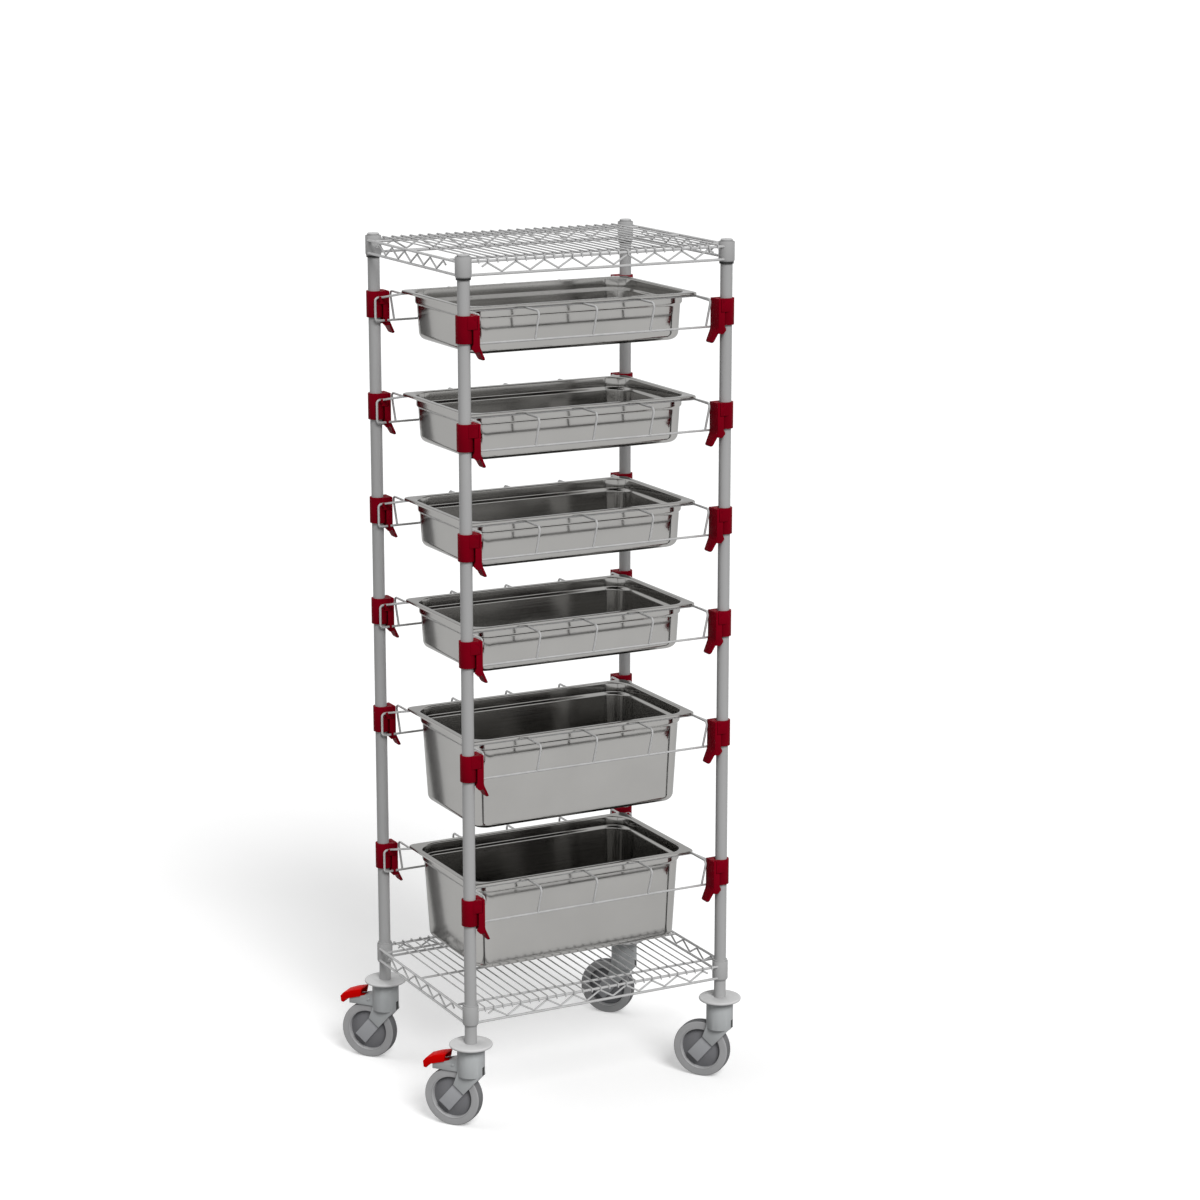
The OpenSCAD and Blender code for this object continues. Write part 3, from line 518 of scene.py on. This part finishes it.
def tray_steel():
    """Stainless sheet, brushed lengthwise, a little duller in soft patches."""
    f = Finish("tray_steel", tuple(bpy.context.scene.trolley_trays.steel), 1.0, 0.12)
    # The sheet reflects less at a slant than bare metal does
    f.shader.inputs["Specular Tint"].default_value = (0.66, 0.66, 0.66, 1)
    lines = f.noise(350, stretch=(0.02, 1, 1), detail=4)
    patch = f.noise(7, detail=3)
    f.tint(patch, 0.04)
    f.rough(lines, 0.08, 0.16)
    return f.bump(lines, 0.000002)


# Moulded pieces: the colour's name, roughness, height of the grain in metres, gloss and
# the share by which the colour varies
PLASTICS = {
    "clamp_plastic": ("clamp", 0.55, 0.00002, 0.04, 0.08),
    "sleeve_plastic": ("sleeve", 0.50, 0.00003, 0.20, 0.15),
    "cap_plastic": ("cap", 0.50, 0.00003, 0.20, 0.05),
    "disc_plastic": ("disc", 0.50, 0.00004, 0.20, 0.03),
    "castor_plastic": ("castor", 0.50, 0.00004, 0.20, 0.03),
    "tyre_rubber": ("tyre", 0.60, 0.00005, 0.10, 0.05),
    # Darker rubber on the tread: painted shade where the tread turns away from the light.
    "tread_rubber": ("tread", 0.65, 0.00006, 0.10, 0.08),
    "pad_plastic": ("pad", 0.50, 0.00004, 0.20, 0.03),
    "wheel_plastic": ("wheel", 0.45, 0.00003, 0.20, 0.04),
    "pedal_plastic": ("pedal", 0.50, 0.00003, 0.04, 0.05),
}
METALS = {"wire_steel": plated_wire, "post_steel": plated_post, "tray_steel": tray_steel}


def moulded(name):
    """Moulded plastic or rubber with a fine pebbled skin and a faint mottle."""
    colour, roughness, grain, gloss, amount = PLASTICS[name]
    colours = bpy.context.scene.trolley_colours
    f = Finish(name, tuple(getattr(colours, colour)), 0.0, roughness, gloss)
    f.tint(f.noise(24, detail=4), amount)
    f.rough(f.noise(160, detail=3), roughness - 0.06, roughness + 0.08)
    return f.bump(f.noise(1500, detail=2), grain)


def finish(name):
    """Makes a finish once, and hands out the same material after that."""
    if name not in FINISHES:
        made = METALS[name]() if name in METALS else moulded(name)
        FINISHES[name] = made.material
    return FINISHES[name]


def use_on_node(node, look):
    """Puts a finish on a CAD node that keeps its own shape."""
    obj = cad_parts[node]
    if not obj.material_slots:
        raise RuntimeError(node + " has no material slot")
    for s in obj.material_slots:
        s.link = "OBJECT"
        s.material = finish(look)


# ---------------------------------------------------------------- pieces


def pan_skin(path, sheet):
    """A thin skin of even thickness either side of a path of insets and heights. Each side
    lies half the sheet along the path's normal, and the two meet at both ends."""
    d = np.diff(path, axis=0)
    t = unit(np.vstack([d[:1], unit(d[:-1]) + unit(d[1:]), d[-1:]]))
    normal = np.stack([-t[:, 1], t[:, 0]], -1) * sheet / 2
    return path + normal, path - normal


def pan_rings(side, path, length, width, wall, opening, outer, steps=14):
    """Rounded rectangles, one for each point of a side of the skin. Each lies inset from the
    rim's outer edge. Along the path the corner radius runs evenly across the rim, from the
    outer corner's to the opening's, and then shrinks with the inset, and a side's ring keeps
    the path's corner centres."""
    inset, z = side[:, 0][:, None], side[:, 1][:, None]
    middle = path[:, 0][:, None]
    share = np.clip(middle / wall, 0, 1)
    r = outer + (opening - outer) * share - np.clip(middle - wall, 0, None) - (inset - middle)
    a = np.radians(np.linspace(0, 90, steps + 1))
    x = length / 2 - inset - r + r * np.cos(a)
    y = width / 2 - inset - r + r * np.sin(a)
    quarter = np.stack([x, y, z + 0 * a], -1)
    flip_x, flip_y = np.array([-1, 1, 1]), np.array([1, -1, 1])
    back = quarter[:, ::-1]
    return np.concatenate(
        [quarter, back * flip_x, quarter * flip_x * flip_y, back * flip_y], 1)


def pan_mesh(name, depth, rim_z):
    """A pressed tray: a flat rim with a turned down edge, a stacking shoulder, a drafted wall
    and a rounded foot, as rounded rectangles carried along one profile."""
    s = bpy.context.scene.trolley_trays
    t = s.sheet
    lip, shoulder_top, shoulder_foot, shoulder_step = 0.005, 0.0222, 0.0262, 0.004
    draft, draft_from, foot_run = np.radians(3.5), 0.026, 0.021
    opening_radius, outer_radius = 0.0484, 0.0096
    wall = s.rim - t / 2
    foot = wall + shoulder_step + (depth - draft_from) * np.tan(draft)
    corners = [
        (t / 2, 0, -lip), (t / 2, 0, -t / 2), (wall, 0, -t / 2), (wall, 0, -shoulder_top),
        (wall + shoulder_step, 0, -shoulder_foot), (foot, 0, t / 2 - depth),
        (foot + foot_run, 0, t / 2 - depth)]
    # Bend radius at each corner but the ends, and the steps of its arc
    bends = ((0.0014, 4), (0.0026, 4), (0.0055, 4), (0.0055, 4), (0.0164, 8))
    path = [np.array([corners[0]])]
    for i, (r, steps) in enumerate(bends):
        path.append(bent(corners[i:i + 3], r, steps)[1:-1])
    path.append(np.array([corners[-1]]))
    path = np.vstack(path)[:, [0, 2]]
    shell = Shell()
    lips = []
    for side in pan_skin(path, t):
        rings = pan_rings(side, path, s.length, s.width, wall, opening_radius, outer_radius)
        rings[..., 2] += rim_z
        k = rings.shape[1]
        lips.append(shell.grid(rings))
        shell.cap(lips[-1] + (len(rings) - 1) * k, k, (0, 0, rings[-1, 0, 2]), len(lips) == 2)
    j = np.arange(k)
    j2 = (j + 1) % k
    a, b = lips
    shell.quads.append(np.stack([a + j, a + j2, b + j2, b + j], -1))
    return shell.mesh(name)


def add_runner(shell, side, top_z):
    """One side's runner: a closed loop of wire with rounded bends, and five hooks that run
    from its rail out and back down to its lower wire. Heights are below the level's top."""
    s = bpy.context.scene.trolley_wires
    end_x, knee_x, rail_end_x = 0.3045, 0.288, 0.262
    post_y, rail_y, hook_y = 0.1995, 0.155, 0.220
    rail_z, arm_z, low_z = -0.0015, -0.0125, -0.061
    hook_pitch, hook_count, hook_radius = 0.131, 5, s.runner_radius * 0.96

    def at(x, y, z):
        return (x, side * y, top_z + z)

    loop = [
        at(-end_x, post_y, low_z), at(-end_x, post_y, arm_z), at(-knee_x, post_y, arm_z),
        at(-rail_end_x, rail_y, rail_z), at(rail_end_x, rail_y, rail_z),
        at(knee_x, post_y, arm_z), at(end_x, post_y, arm_z), at(end_x, post_y, low_z)]
    shell.tube(bent(loop, s.runner_bend, 7, closed=True), s.runner_radius, s.sides, closed=True)
    for k in range(hook_count):
        x = (k - hook_count // 2) * hook_pitch
        hook = [at(x, rail_y, rail_z), at(x, hook_y, rail_z), at(x, post_y, low_z)]
        shell.tube(bent(hook, s.hook_bend, 8), hook_radius, s.sides)


def collar_profile():
    """Outline of a collar's wall: radius and height from its lower edge."""
    return np.array([
        (15.2, 1.1), (15.35, 0.8), (15.6, 1.0), (16.5, 3.1), (16.8, 4.2), (16.8, 41.3),
        (16.62, 41.8), (16.2, 42.0), (15.6, 42.0), (15.3, 41.85), (15.2, 41.5)]) / 1000


def collars_mesh(name, shelf_z):
    """The four collars that hold a shelf on its posts."""
    shell = Shell()
    for sx, sy in CORNERS.values():
        foot = (sx * HALF_X, sy * HALF_Y, shelf_z - COLLAR_HEIGHT)
        shell.lathe(collar_profile(), foot, COLLAR_SIDES)
    return shell.mesh(name)


def shelf_frame_mesh(name, shelf_z):
    """A shelf's frame: an upper and a lower wire along each edge, and a zigzag wire with
    rounded peaks between them."""
    s = bpy.context.scene.trolley_wires
    shell = Shell()
    reach, drop = 0.01325, 0.02275
    edge_x, edge_y = 0.3115, 0.2295
    end_x, end_y = HALF_X - 0.011, HALF_Y - 0.004
    pitch, tail, tail_rise, bite = 0.0312, 0.4, 0.2, 0.0001
    long_peaks, short_peaks = 8, 5
    mid = shelf_z - drop
    # The zigzag's sharp corners stand so far out that its rounded peaks bite into the wires
    rise = reach - s.edge_radius - s.zigzag_radius
    half_turn = np.arctan(2 * rise / pitch)
    peak = rise + s.zigzag_bend * (1 / np.cos(half_turn) - 1) + bite

    def zigzag(last, spot):
        i = np.arange(-last, last + 1)
        end = (last + tail) * pitch
        u = np.concatenate([[-end], i * pitch, [end]])
        h = np.where((i - last) % 2 == 0, peak, -peak)
        h = np.concatenate([[tail_rise * peak], h, [tail_rise * peak]])
        shell.tube(bent(spot(u, h), s.zigzag_bend, 5), s.zigzag_radius, s.sides)

    for sign in (-1, 1):
        x, y = sign * edge_x, sign * edge_y
        for h in (-reach, reach):
            shell.tube([(-end_x, y, mid + h), (end_x, y, mid + h)], s.edge_radius, s.sides + 2)
            shell.tube([(x, -end_y, mid + h), (x, end_y, mid + h)], s.edge_radius, s.sides + 2)
        zigzag(long_peaks, lambda u, h: np.stack([u, 0 * u + y, mid + h], -1))
        zigzag(short_peaks, lambda u, h: np.stack([0 * u + x, u, mid + h], -1))
    return shell.mesh(name)


def shelf_deck_mesh(name, shelf_z):
    """A shelf's deck: wires from front to back whose ends bend down over the edge wires, on
    three cross wires."""
    s = bpy.context.scene.trolley_wires
    shell = Shell()
    upper = shelf_z - 0.0095
    deck_z, nub_z = upper + 0.0045, upper - 0.0044
    wire_count, pitch, end_y, end_bend = 27, 0.0208, 0.234, 0.0032
    cross_end_x, cross_y, cross_drop = 0.3086, 0.1815, 0.0039
    for k in range(wire_count):
        x = (k - wire_count // 2) * pitch
        wire = [(x, -end_y, nub_z), (x, -end_y, deck_z), (x, end_y, deck_z), (x, end_y, nub_z)]
        shell.tube(bent(wire, end_bend, 5), s.deck_radius, s.sides - 2)
    for y in (-cross_y, 0, cross_y):
        z = deck_z - cross_drop
        shell.tube([(-cross_end_x, y, z), (cross_end_x, y, z)], s.cross_radius, s.sides)
    return shell.mesh(name)


def disc_profile():
    """Outline of a bumper disc and the ring under it: radius and height from the disc's
    lower face."""
    return np.array([
        (6.1, -2.6), (6.5, -3.0), (29.0, -3.0), (29.7, -2.7), (30.0, -2.0), (30.0, -0.4),
        (30.4, 0.0), (42.6, 0.0), (43.8, 0.25), (44.8, 0.9), (45.35, 1.8), (45.5, 2.9),
        (45.35, 4.0), (44.8, 5.0), (43.9, 5.7), (42.8, 6.0), (6.5, 6.0), (6.1, 5.6)]) / 1000


def mirrored(half):
    """A half outline and its mirror image across the wheel's middle, in metres."""
    half = np.asarray(half, float)
    return np.vstack([half, half[::-1] * (1, -1)]) / 1000


def tyre_profile():
    """Outline of the tyre, across its width: radius and offset along the axle."""
    return mirrored([
        (47.3, 12.0), (59.4, 12.0), (60.7, 11.8), (61.5, 11.1), (61.6, 10.4), (60.0, 9.6)])


def tread_shade_profile():
    """Outline of the band round the tyre's tread that carries the tread's painted shade: radius
    and offset along the axle.
    """
    return mirrored([
        (59.8, 10.2), (61.0, 10.9), (61.8, 10.3), (62.3, 8.9), (62.5, 7.0), (62.5, 0.5)])


def rim_profile():
    """Outline of the pale ring between the tyre and the wheel centre."""
    return mirrored([
        (44.6, 3.0), (44.6, 11.2), (45.1, 11.7), (46.9, 11.9), (47.2, 11.6), (47.2, 3.0)])


def centre_profile():
    """Outline of the wheel centre: radius and offset along the axle. Each face starts deep
    inside the rim and rises in a shallow cone to the hub, with a round foot and shoulder."""
    return mirrored([
        (44.8, 0.5), (43.6, 0.7), (42.2, 1.2), (40.6, 1.9), (20.0, 7.6), (18.0, 8.0), (16.0, 8.2),
        (4.5, 8.4), (4.05, 8.0)])


def castor_point(corner, back, across, z):
    """A point of a castor: how far behind the post it lies along the castor's heading, how
    far to the side, and its height."""
    sx, sy = CORNERS[corner]
    return (
        sx * HALF_X + back * np.cos(TRAIL) - across * np.sin(TRAIL),
        sy * HALF_Y + back * np.sin(TRAIL) + across * np.cos(TRAIL), z)


def blocks_mesh(name, pairs, width, segments):
    """Closed blocks with rounded edges, each between two rings of four points."""
    bm = bmesh.new()
    for pair in pairs:
        near, far = ([bm.verts.new(p) for p in ring] for ring in pair)
        bm.faces.new(near)
        bm.faces.new(far)
        for i in range(4):
            j = (i + 1) % 4
            bm.faces.new((near[i], near[j], far[j], far[i]))
    bmesh.ops.recalc_face_normals(bm, faces=bm.faces)
    return rounded(name, written(bm, bpy.data.meshes.new(name)), width, segments)


def pad_mesh(name, corner):
    """The two flat pads over the ends of the axle. Each is the leg's lower end, drawn along
    the leg's slope in the castor's upright plane, given its thickness and rounded."""
    slope = np.radians(50)
    along = np.array([-np.cos(slope), np.sin(slope)])
    beside = np.array([np.sin(slope), np.cos(slope)])
    low, high, half = -0.0252, 0.0288, 0.0152
    inner, outer = 0.0092, 0.01575
    outline = [np.array([AXLE_BACK, AXLE_Z]) + u * along + v * beside
        for u, v in ((low, -half), (low, half), (high, half), (high, -half))]
    pairs = [[[castor_point(corner, back, side * across, z) for back, z in outline]
        for across in (inner, outer)] for side in (-1, 1)]
    return blocks_mesh(name, pairs, ROUND_MOULDED, 3)


def slot_shade_mesh(name, corner):
    """A dark block in the slot at the front of a housing, a little under its surface, that paints
    the shade inside the slot.
    """
    rear, front, half, low, high = -0.0228, -0.0278, 0.0062, 0.1160, 0.1358
    outline = ((rear, -half), (front, -half), (front, half), (rear, half))
    pair = [[castor_point(corner, back, across, z) for back, across in outline]
        for z in (low, high)]
    return blocks_mesh(name, [pair], ROUND_SLOT_SHADE, 2)


def wheel_mesh(name, corner, profile):
    """An outline turned round a corner's axle."""
    shell = Shell()
    centre = castor_point(corner, AXLE_BACK, 0, AXLE_Z)
    shell.lathe(profile, centre, WHEEL_SIDES, "axle", TRAIL)
    return shell.mesh(name)


def pin_ends_mesh(name, corner):
    """The round heads on both ends of the pin that the pedal rocks on."""
    centre = castor_point(corner, PEDAL_PIN_BACK, 0, PEDAL_PIN_Z)
    head = np.array([
        (0, 15.7), (2.7, 15.7), (2.85, 15.9), (2.85, 18.3), (2.5, 18.8), (0, 18.8)]) / 1000
    shell = Shell()
    for outline in (head, head[::-1] * (1, -1)):
        shell.lathe(outline, centre, PIN_SIDES, "axle", TRAIL)
    return shell.mesh(name)


# ---------------------------------------------------------------- operators

# The floor's half width, the world's strength as light and as seen by the camera and
# mirrors, and the suns: height above the level, bearing from +X, spread and strength
FLOOR_HALF = 150.0
WORLD_LIGHT, WORLD_SEEN = 0.33, 1.0
LAMPS = (
    ("lamp_front", 42, -94, 25, 2.5),
    ("lamp_rear", 65, 140, 40, 0.6),
)
SENSOR_MM, FAR_CLIP = 36, 200


class TROLLEY_OT_posts(bpy.types.Operator):
    """Finishes the posts, their caps, the split sleeves and the castors' stems"""

    bl_idname = "trolley.posts"
    bl_label = "Posts"

    def execute(self, context):
        for corner in CORNERS:
            use_on_node(corner + "_post", "post_steel")
        for name, low, high, look in (
                ("lower_sleeves", 0.0, SLEEVE_SPLIT_Z, "post_steel"),
                ("upper_sleeves", SLEEVE_SPLIT_Z, np.inf, "sleeve_plastic")):
            place(name, band_of("split_sleeves", low, high), look, "base",
                ["split_sleeves"])
        use_on_node("castor_stems", "wire_steel")
        place("post_cap_tops", softened("post_caps", ROUND_CAP), "cap_plastic", "base",
            ["post_caps"])
        return {"FINISHED"}


class TROLLEY_OT_shelf_frames(bpy.types.Operator):
    """Builds both shelf frames with rounded zigzags, and their collars"""

    bl_idname = "trolley.shelf_frames"
    bl_label = "Shelf frames"

    def execute(self, context):
        for level, z in SHELVES.items():
            for part, build, look in (
                    ("_shelf_truss", shelf_frame_mesh, "wire_steel"),
                    ("_collars", collars_mesh, "post_steel")):
                name = level + part
                place(name, build(name, z), look, "base", [level + "_shelf_frame"])
        return {"FINISHED"}


class TROLLEY_OT_shelf_decks(bpy.types.Operator):
    """Builds both wire decks with bent ends"""

    bl_idname = "trolley.shelf_decks"
    bl_label = "Shelf decks"

    def execute(self, context):
        for level, z in SHELVES.items():
            name = level + "_deck_wires"
            place(name, shelf_deck_mesh(name, z), "wire_steel", "base",
                [level + "_shelf_deck"])
        return {"FINISHED"}


class TROLLEY_OT_runners(bpy.types.Operator):
    """Builds the bent wire runners of every level"""

    bl_idname = "trolley.runners"
    bl_label = "Runners"

    def execute(self, context):
        for i, z in enumerate(LEVELS, 1):
            shell = Shell()
            for side in (-1, 1):
                add_runner(shell, side, z)
            name = "runner_wires_%d" % i
            place(name, shell.mesh(name), "wire_steel", "base", ["runners_%d" % i])
        return {"FINISHED"}


class TROLLEY_OT_trays(bpy.types.Operator):
    """Builds the six pressed trays"""

    bl_idname = "trolley.trays"
    bl_label = "Trays"

    def execute(self, context):
        for i, (z, depth) in enumerate(zip(LEVELS, DEPTHS), 1):
            name = "pan_%d" % i
            place(name, pan_mesh(name, depth, z + TRAY_LIFT), "tray_steel",
                "tray_body_%d" % i, ["tray_%d" % i], WIDE_SMOOTH)
        return {"FINISHED"}


class TROLLEY_OT_clamps(bpy.types.Operator):
    """Rounds the edges of the clamp bodies"""

    bl_idname = "trolley.clamps"
    bl_label = "Clamps"

    def execute(self, context):
        for row in ("front", "rear"):
            node = row + "_clamp_bodies"
            place(row + "_clamps", softened(node, ROUND_CLAMP), "clamp_plastic", "base",
                [node])
        return {"FINISHED"}


class TROLLEY_OT_levers(bpy.types.Operator):
    """Rounds the edges of the clamp levers"""

    bl_idname = "trolley.levers"
    bl_label = "Levers"

    def execute(self, context):
        for corner in CORNERS:
            for i in range(1, len(LEVELS) + 1):
                node = "%s_lever_%d" % (corner, i)
                place(node + "_grip", softened(node, ROUND_LEVER), "clamp_plastic",
                    "%s_lever_body_%d" % (corner, i), [node])
        return {"FINISHED"}


class TROLLEY_OT_discs(bpy.types.Operator):
    """Builds the bumper discs with rounded rims"""

    bl_idname = "trolley.discs"
    bl_label = "Bumper discs"

    def execute(self, context):
        shell = Shell()
        for sx, sy in CORNERS.values():
            shell.lathe(disc_profile(), (sx * HALF_X, sy * HALF_Y, DISC_Z), DISC_SIDES)
        place("bumper_rounds", shell.mesh("bumper_rounds"), "disc_plastic", "base",
            ["bumper_discs"], WIDE_SMOOTH)
        return {"FINISHED"}


class TROLLEY_OT_castors(bpy.types.Operator):
    """Rounds the castor housings, lays the pads on their legs and fills their slots with dark
    blocks that paint the shade in them
    """

    bl_idname = "trolley.castors"
    bl_label = "Castor housings"

    def execute(self, context):
        for corner in CORNERS:
            node, body = corner + "_housing", corner + "_castor"
            place(corner + "_fork", softened(node, ROUND_MOULDED), "castor_plastic", body,
                [node])
            for part, build, look in (
                    ("leg_pads", pad_mesh, "pad_plastic"),
                    # A dark block in each slot paints the shade inside it.
                    ("slot_insert", slot_shade_mesh, "sleeve_plastic")):
                name = corner + "_" + part
                place(name, build(name, corner), look, body, [node])
        return {"FINISHED"}


class TROLLEY_OT_wheels(bpy.types.Operator):
    """Builds the tyres, the bands on their treads that carry painted shade, the pale rings and
    the wheel centres
    """

    bl_idname = "trolley.wheels"
    bl_label = "Wheels"

    def execute(self, context):
        for corner in CORNERS:
            for part, profile, look in (
                    ("tyre", tyre_profile(), "tyre_rubber"),
                    # The tread band's darker rubber is painted shade.
                    ("tread", tread_shade_profile(), "tread_rubber"),
                    ("rim", rim_profile(), "tyre_rubber"),
                    ("wheel_centre", centre_profile(), "wheel_plastic")):
                name = corner + "_" + part
                place(name, wheel_mesh(name, corner, profile), look, corner + "_wheel_body",
                    [corner + "_wheel"], WIDE_SMOOTH)
        return {"FINISHED"}


class TROLLEY_OT_pedals(bpy.types.Operator):
    """Rounds the brake pedals and puts the heads on their pins"""

    bl_idname = "trolley.pedals"
    bl_label = "Pedals"

    def execute(self, context):
        for corner in ("left_front", "left_rear"):
            node, body = corner + "_pedal", corner + "_pedal_body"
            place(corner + "_pedal_cap", softened(node, ROUND_MOULDED), "pedal_plastic", body,
                [node])
            name = corner + "_pin_ends"
            place(name, pin_ends_mesh(name, corner), "castor_plastic", body,
                [node])
        return {"FINISHED"}


class TROLLEY_OT_stage(bpy.types.Operator):
    """Sets up the floor, the backdrop, the lamps and the camera"""

    bl_idname = "trolley.stage"
    bl_label = "Stage"

    def execute(self, context):
        s = context.scene.trolley_stage
        self.floor(s)
        self.lamps()
        self.camera(s)
        context.scene.view_settings.view_transform = "Standard"
        return {"FINISHED"}

    def floor(self, s):
        """A wide flat square at floor height. The camera and mirrors see it white where
        it is lit, so it keeps the trolley's shadow."""
        me = bpy.data.meshes.new("studio_floor")
        e = FLOOR_HALF
        me.from_pydata([(-e, -e, 0), (e, -e, 0), (e, e, 0), (-e, e, 0)], [], [(0, 1, 2, 3)])
        floor = bpy.data.objects.new("studio_floor", me)
        bpy.context.scene.collection.objects.link(floor)
        f = Finish("studio_floor", tuple(s.floor), 0.0, 0.9, 0.0)
        f.tint(f.noise(2.0), 0.01)
        me.materials.append(f.material)
        # What the camera and mirrors see adds an even glow, so lit floor is white and
        # shadow stays. Other rays meet a darker floor, which throws less light upwards.
        out = f.tree.nodes["Material Output"]
        glow = f.node("ShaderNodeEmission")
        glow.inputs["Strength"].default_value = s.glow
        dark = f.node("ShaderNodeBsdfDiffuse")
        dark.inputs["Color"].default_value = (s.bounce, s.bounce, s.bounce, 1)
        both = f.node("ShaderNodeAddShader")
        mix = f.node("ShaderNodeMixShader")
        f.link(f.shader.outputs["BSDF"], both.inputs[0])
        f.link(glow.outputs["Emission"], both.inputs[1])
        f.link(self.seen(f.tree), mix.inputs["Fac"])
        f.link(dark.outputs["BSDF"], mix.inputs[1])
        f.link(both.outputs["Shader"], mix.inputs[2])
        f.link(mix.outputs["Shader"], out.inputs["Surface"])

    def seen(self, tree):
        """One for rays from the camera and from mirrors, zero for the rest."""
        path = tree.nodes.new("ShaderNodeLightPath")
        either = tree.nodes.new("ShaderNodeMath")
        either.operation = "MAXIMUM"
        tree.links.new(path.outputs["Is Camera Ray"], either.inputs[0])
        tree.links.new(path.outputs["Is Glossy Ray"], either.inputs[1])
        return either.outputs["Value"]

    def lamps(self):
        """Two broad soft suns, the stronger from the front, and an even grey world that the
        camera and mirrors see as white. Mirrors don't show the suns."""
        world = bpy.data.worlds.new("studio_air")
        bpy.context.scene.world = world
        world.use_nodes = True
        tree = world.node_tree
        tree.nodes.clear()
        out = tree.nodes.new("ShaderNodeOutputWorld")
        dim = tree.nodes.new("ShaderNodeBackground")
        dim.inputs["Color"].default_value = (1, 1, 1, 1)
        dim.inputs["Strength"].default_value = WORLD_LIGHT
        white = tree.nodes.new("ShaderNodeBackground")
        white.inputs["Color"].default_value = (1, 1, 1, 1)
        white.inputs["Strength"].default_value = WORLD_SEEN
        mix = tree.nodes.new("ShaderNodeMixShader")
        tree.links.new(self.seen(tree), mix.inputs["Fac"])
        tree.links.new(dim.outputs["Background"], mix.inputs[1])
        tree.links.new(white.outputs["Background"], mix.inputs[2])
        tree.links.new(mix.outputs["Shader"], out.inputs["Surface"])
        for name, height, bearing, spread, strength in LAMPS:
            lamp = bpy.data.lights.new(name, "SUN")
            lamp.energy = strength
            lamp.angle = float(np.radians(spread))
            obj = bpy.data.objects.new(name, lamp)
            bpy.context.scene.collection.objects.link(obj)
            obj.location = (0, 0, 4)
            obj.visible_glossy = False
            obj.rotation_euler = (np.radians(90 - height), 0, np.radians(bearing + 90))

    def camera(self, s):
        """The camera at the photograph's angle."""
        lens = bpy.data.cameras.new("camera")
        lens.lens = s.lens
        lens.sensor_width = SENSOR_MM
        lens.clip_end = FAR_CLIP
        camera = bpy.data.objects.new("camera", lens)
        bpy.context.scene.collection.objects.link(camera)
        camera.location = tuple(s.camera_place)
        camera.rotation_euler = (np.pi / 2 - s.camera_pitch, 0, -s.camera_heading)
        bpy.context.scene.camera = camera


class TROLLEY_PT_sidebar(bpy.types.Panel):
    """Lists the trolley's pieces"""

    bl_label = "Tray trolley"
    bl_idname = "TROLLEY_PT_sidebar"
    bl_space_type = "VIEW_3D"
    bl_region_type = "UI"
    bl_category = "Trolley"

    def draw(self, context):
        for operator in OPERATORS:
            self.layout.operator(operator.bl_idname)
        for group in GROUPS:
            settings = getattr(context.scene, group)
            box = self.layout.box()
            for name in settings.bl_rna.properties.keys():
                if name not in ("rna_type", "name"):
                    box.prop(settings, name)


GROUPS = {
    "trolley_wires": WireSizes,
    "trolley_trays": TraySizes,
    "trolley_colours": PlasticColours,
    "trolley_stage": StageSettings,
}
OPERATORS = (
    TROLLEY_OT_stage, TROLLEY_OT_posts, TROLLEY_OT_shelf_frames, TROLLEY_OT_shelf_decks,
    TROLLEY_OT_runners, TROLLEY_OT_trays, TROLLEY_OT_clamps, TROLLEY_OT_levers,
    TROLLEY_OT_discs, TROLLEY_OT_castors, TROLLEY_OT_wheels, TROLLEY_OT_pedals,
)


def register():
    for cls in (*GROUPS.values(), *OPERATORS, TROLLEY_PT_sidebar):
        bpy.utils.register_class(cls)
    for name, cls in GROUPS.items():
        setattr(bpy.types.Scene, name, PointerProperty(type=cls))


def unregister():
    for name in GROUPS:
        delattr(bpy.types.Scene, name)
    for cls in reversed((*GROUPS.values(), *OPERATORS, TROLLEY_PT_sidebar)):
        bpy.utils.unregister_class(cls)


def main():
    """Builds everything."""
    register()
    for operator in OPERATORS:
        group, name = operator.bl_idname.split(".")
        getattr(getattr(bpy.ops, group), name)()


if __name__ == "__main__":
    main()
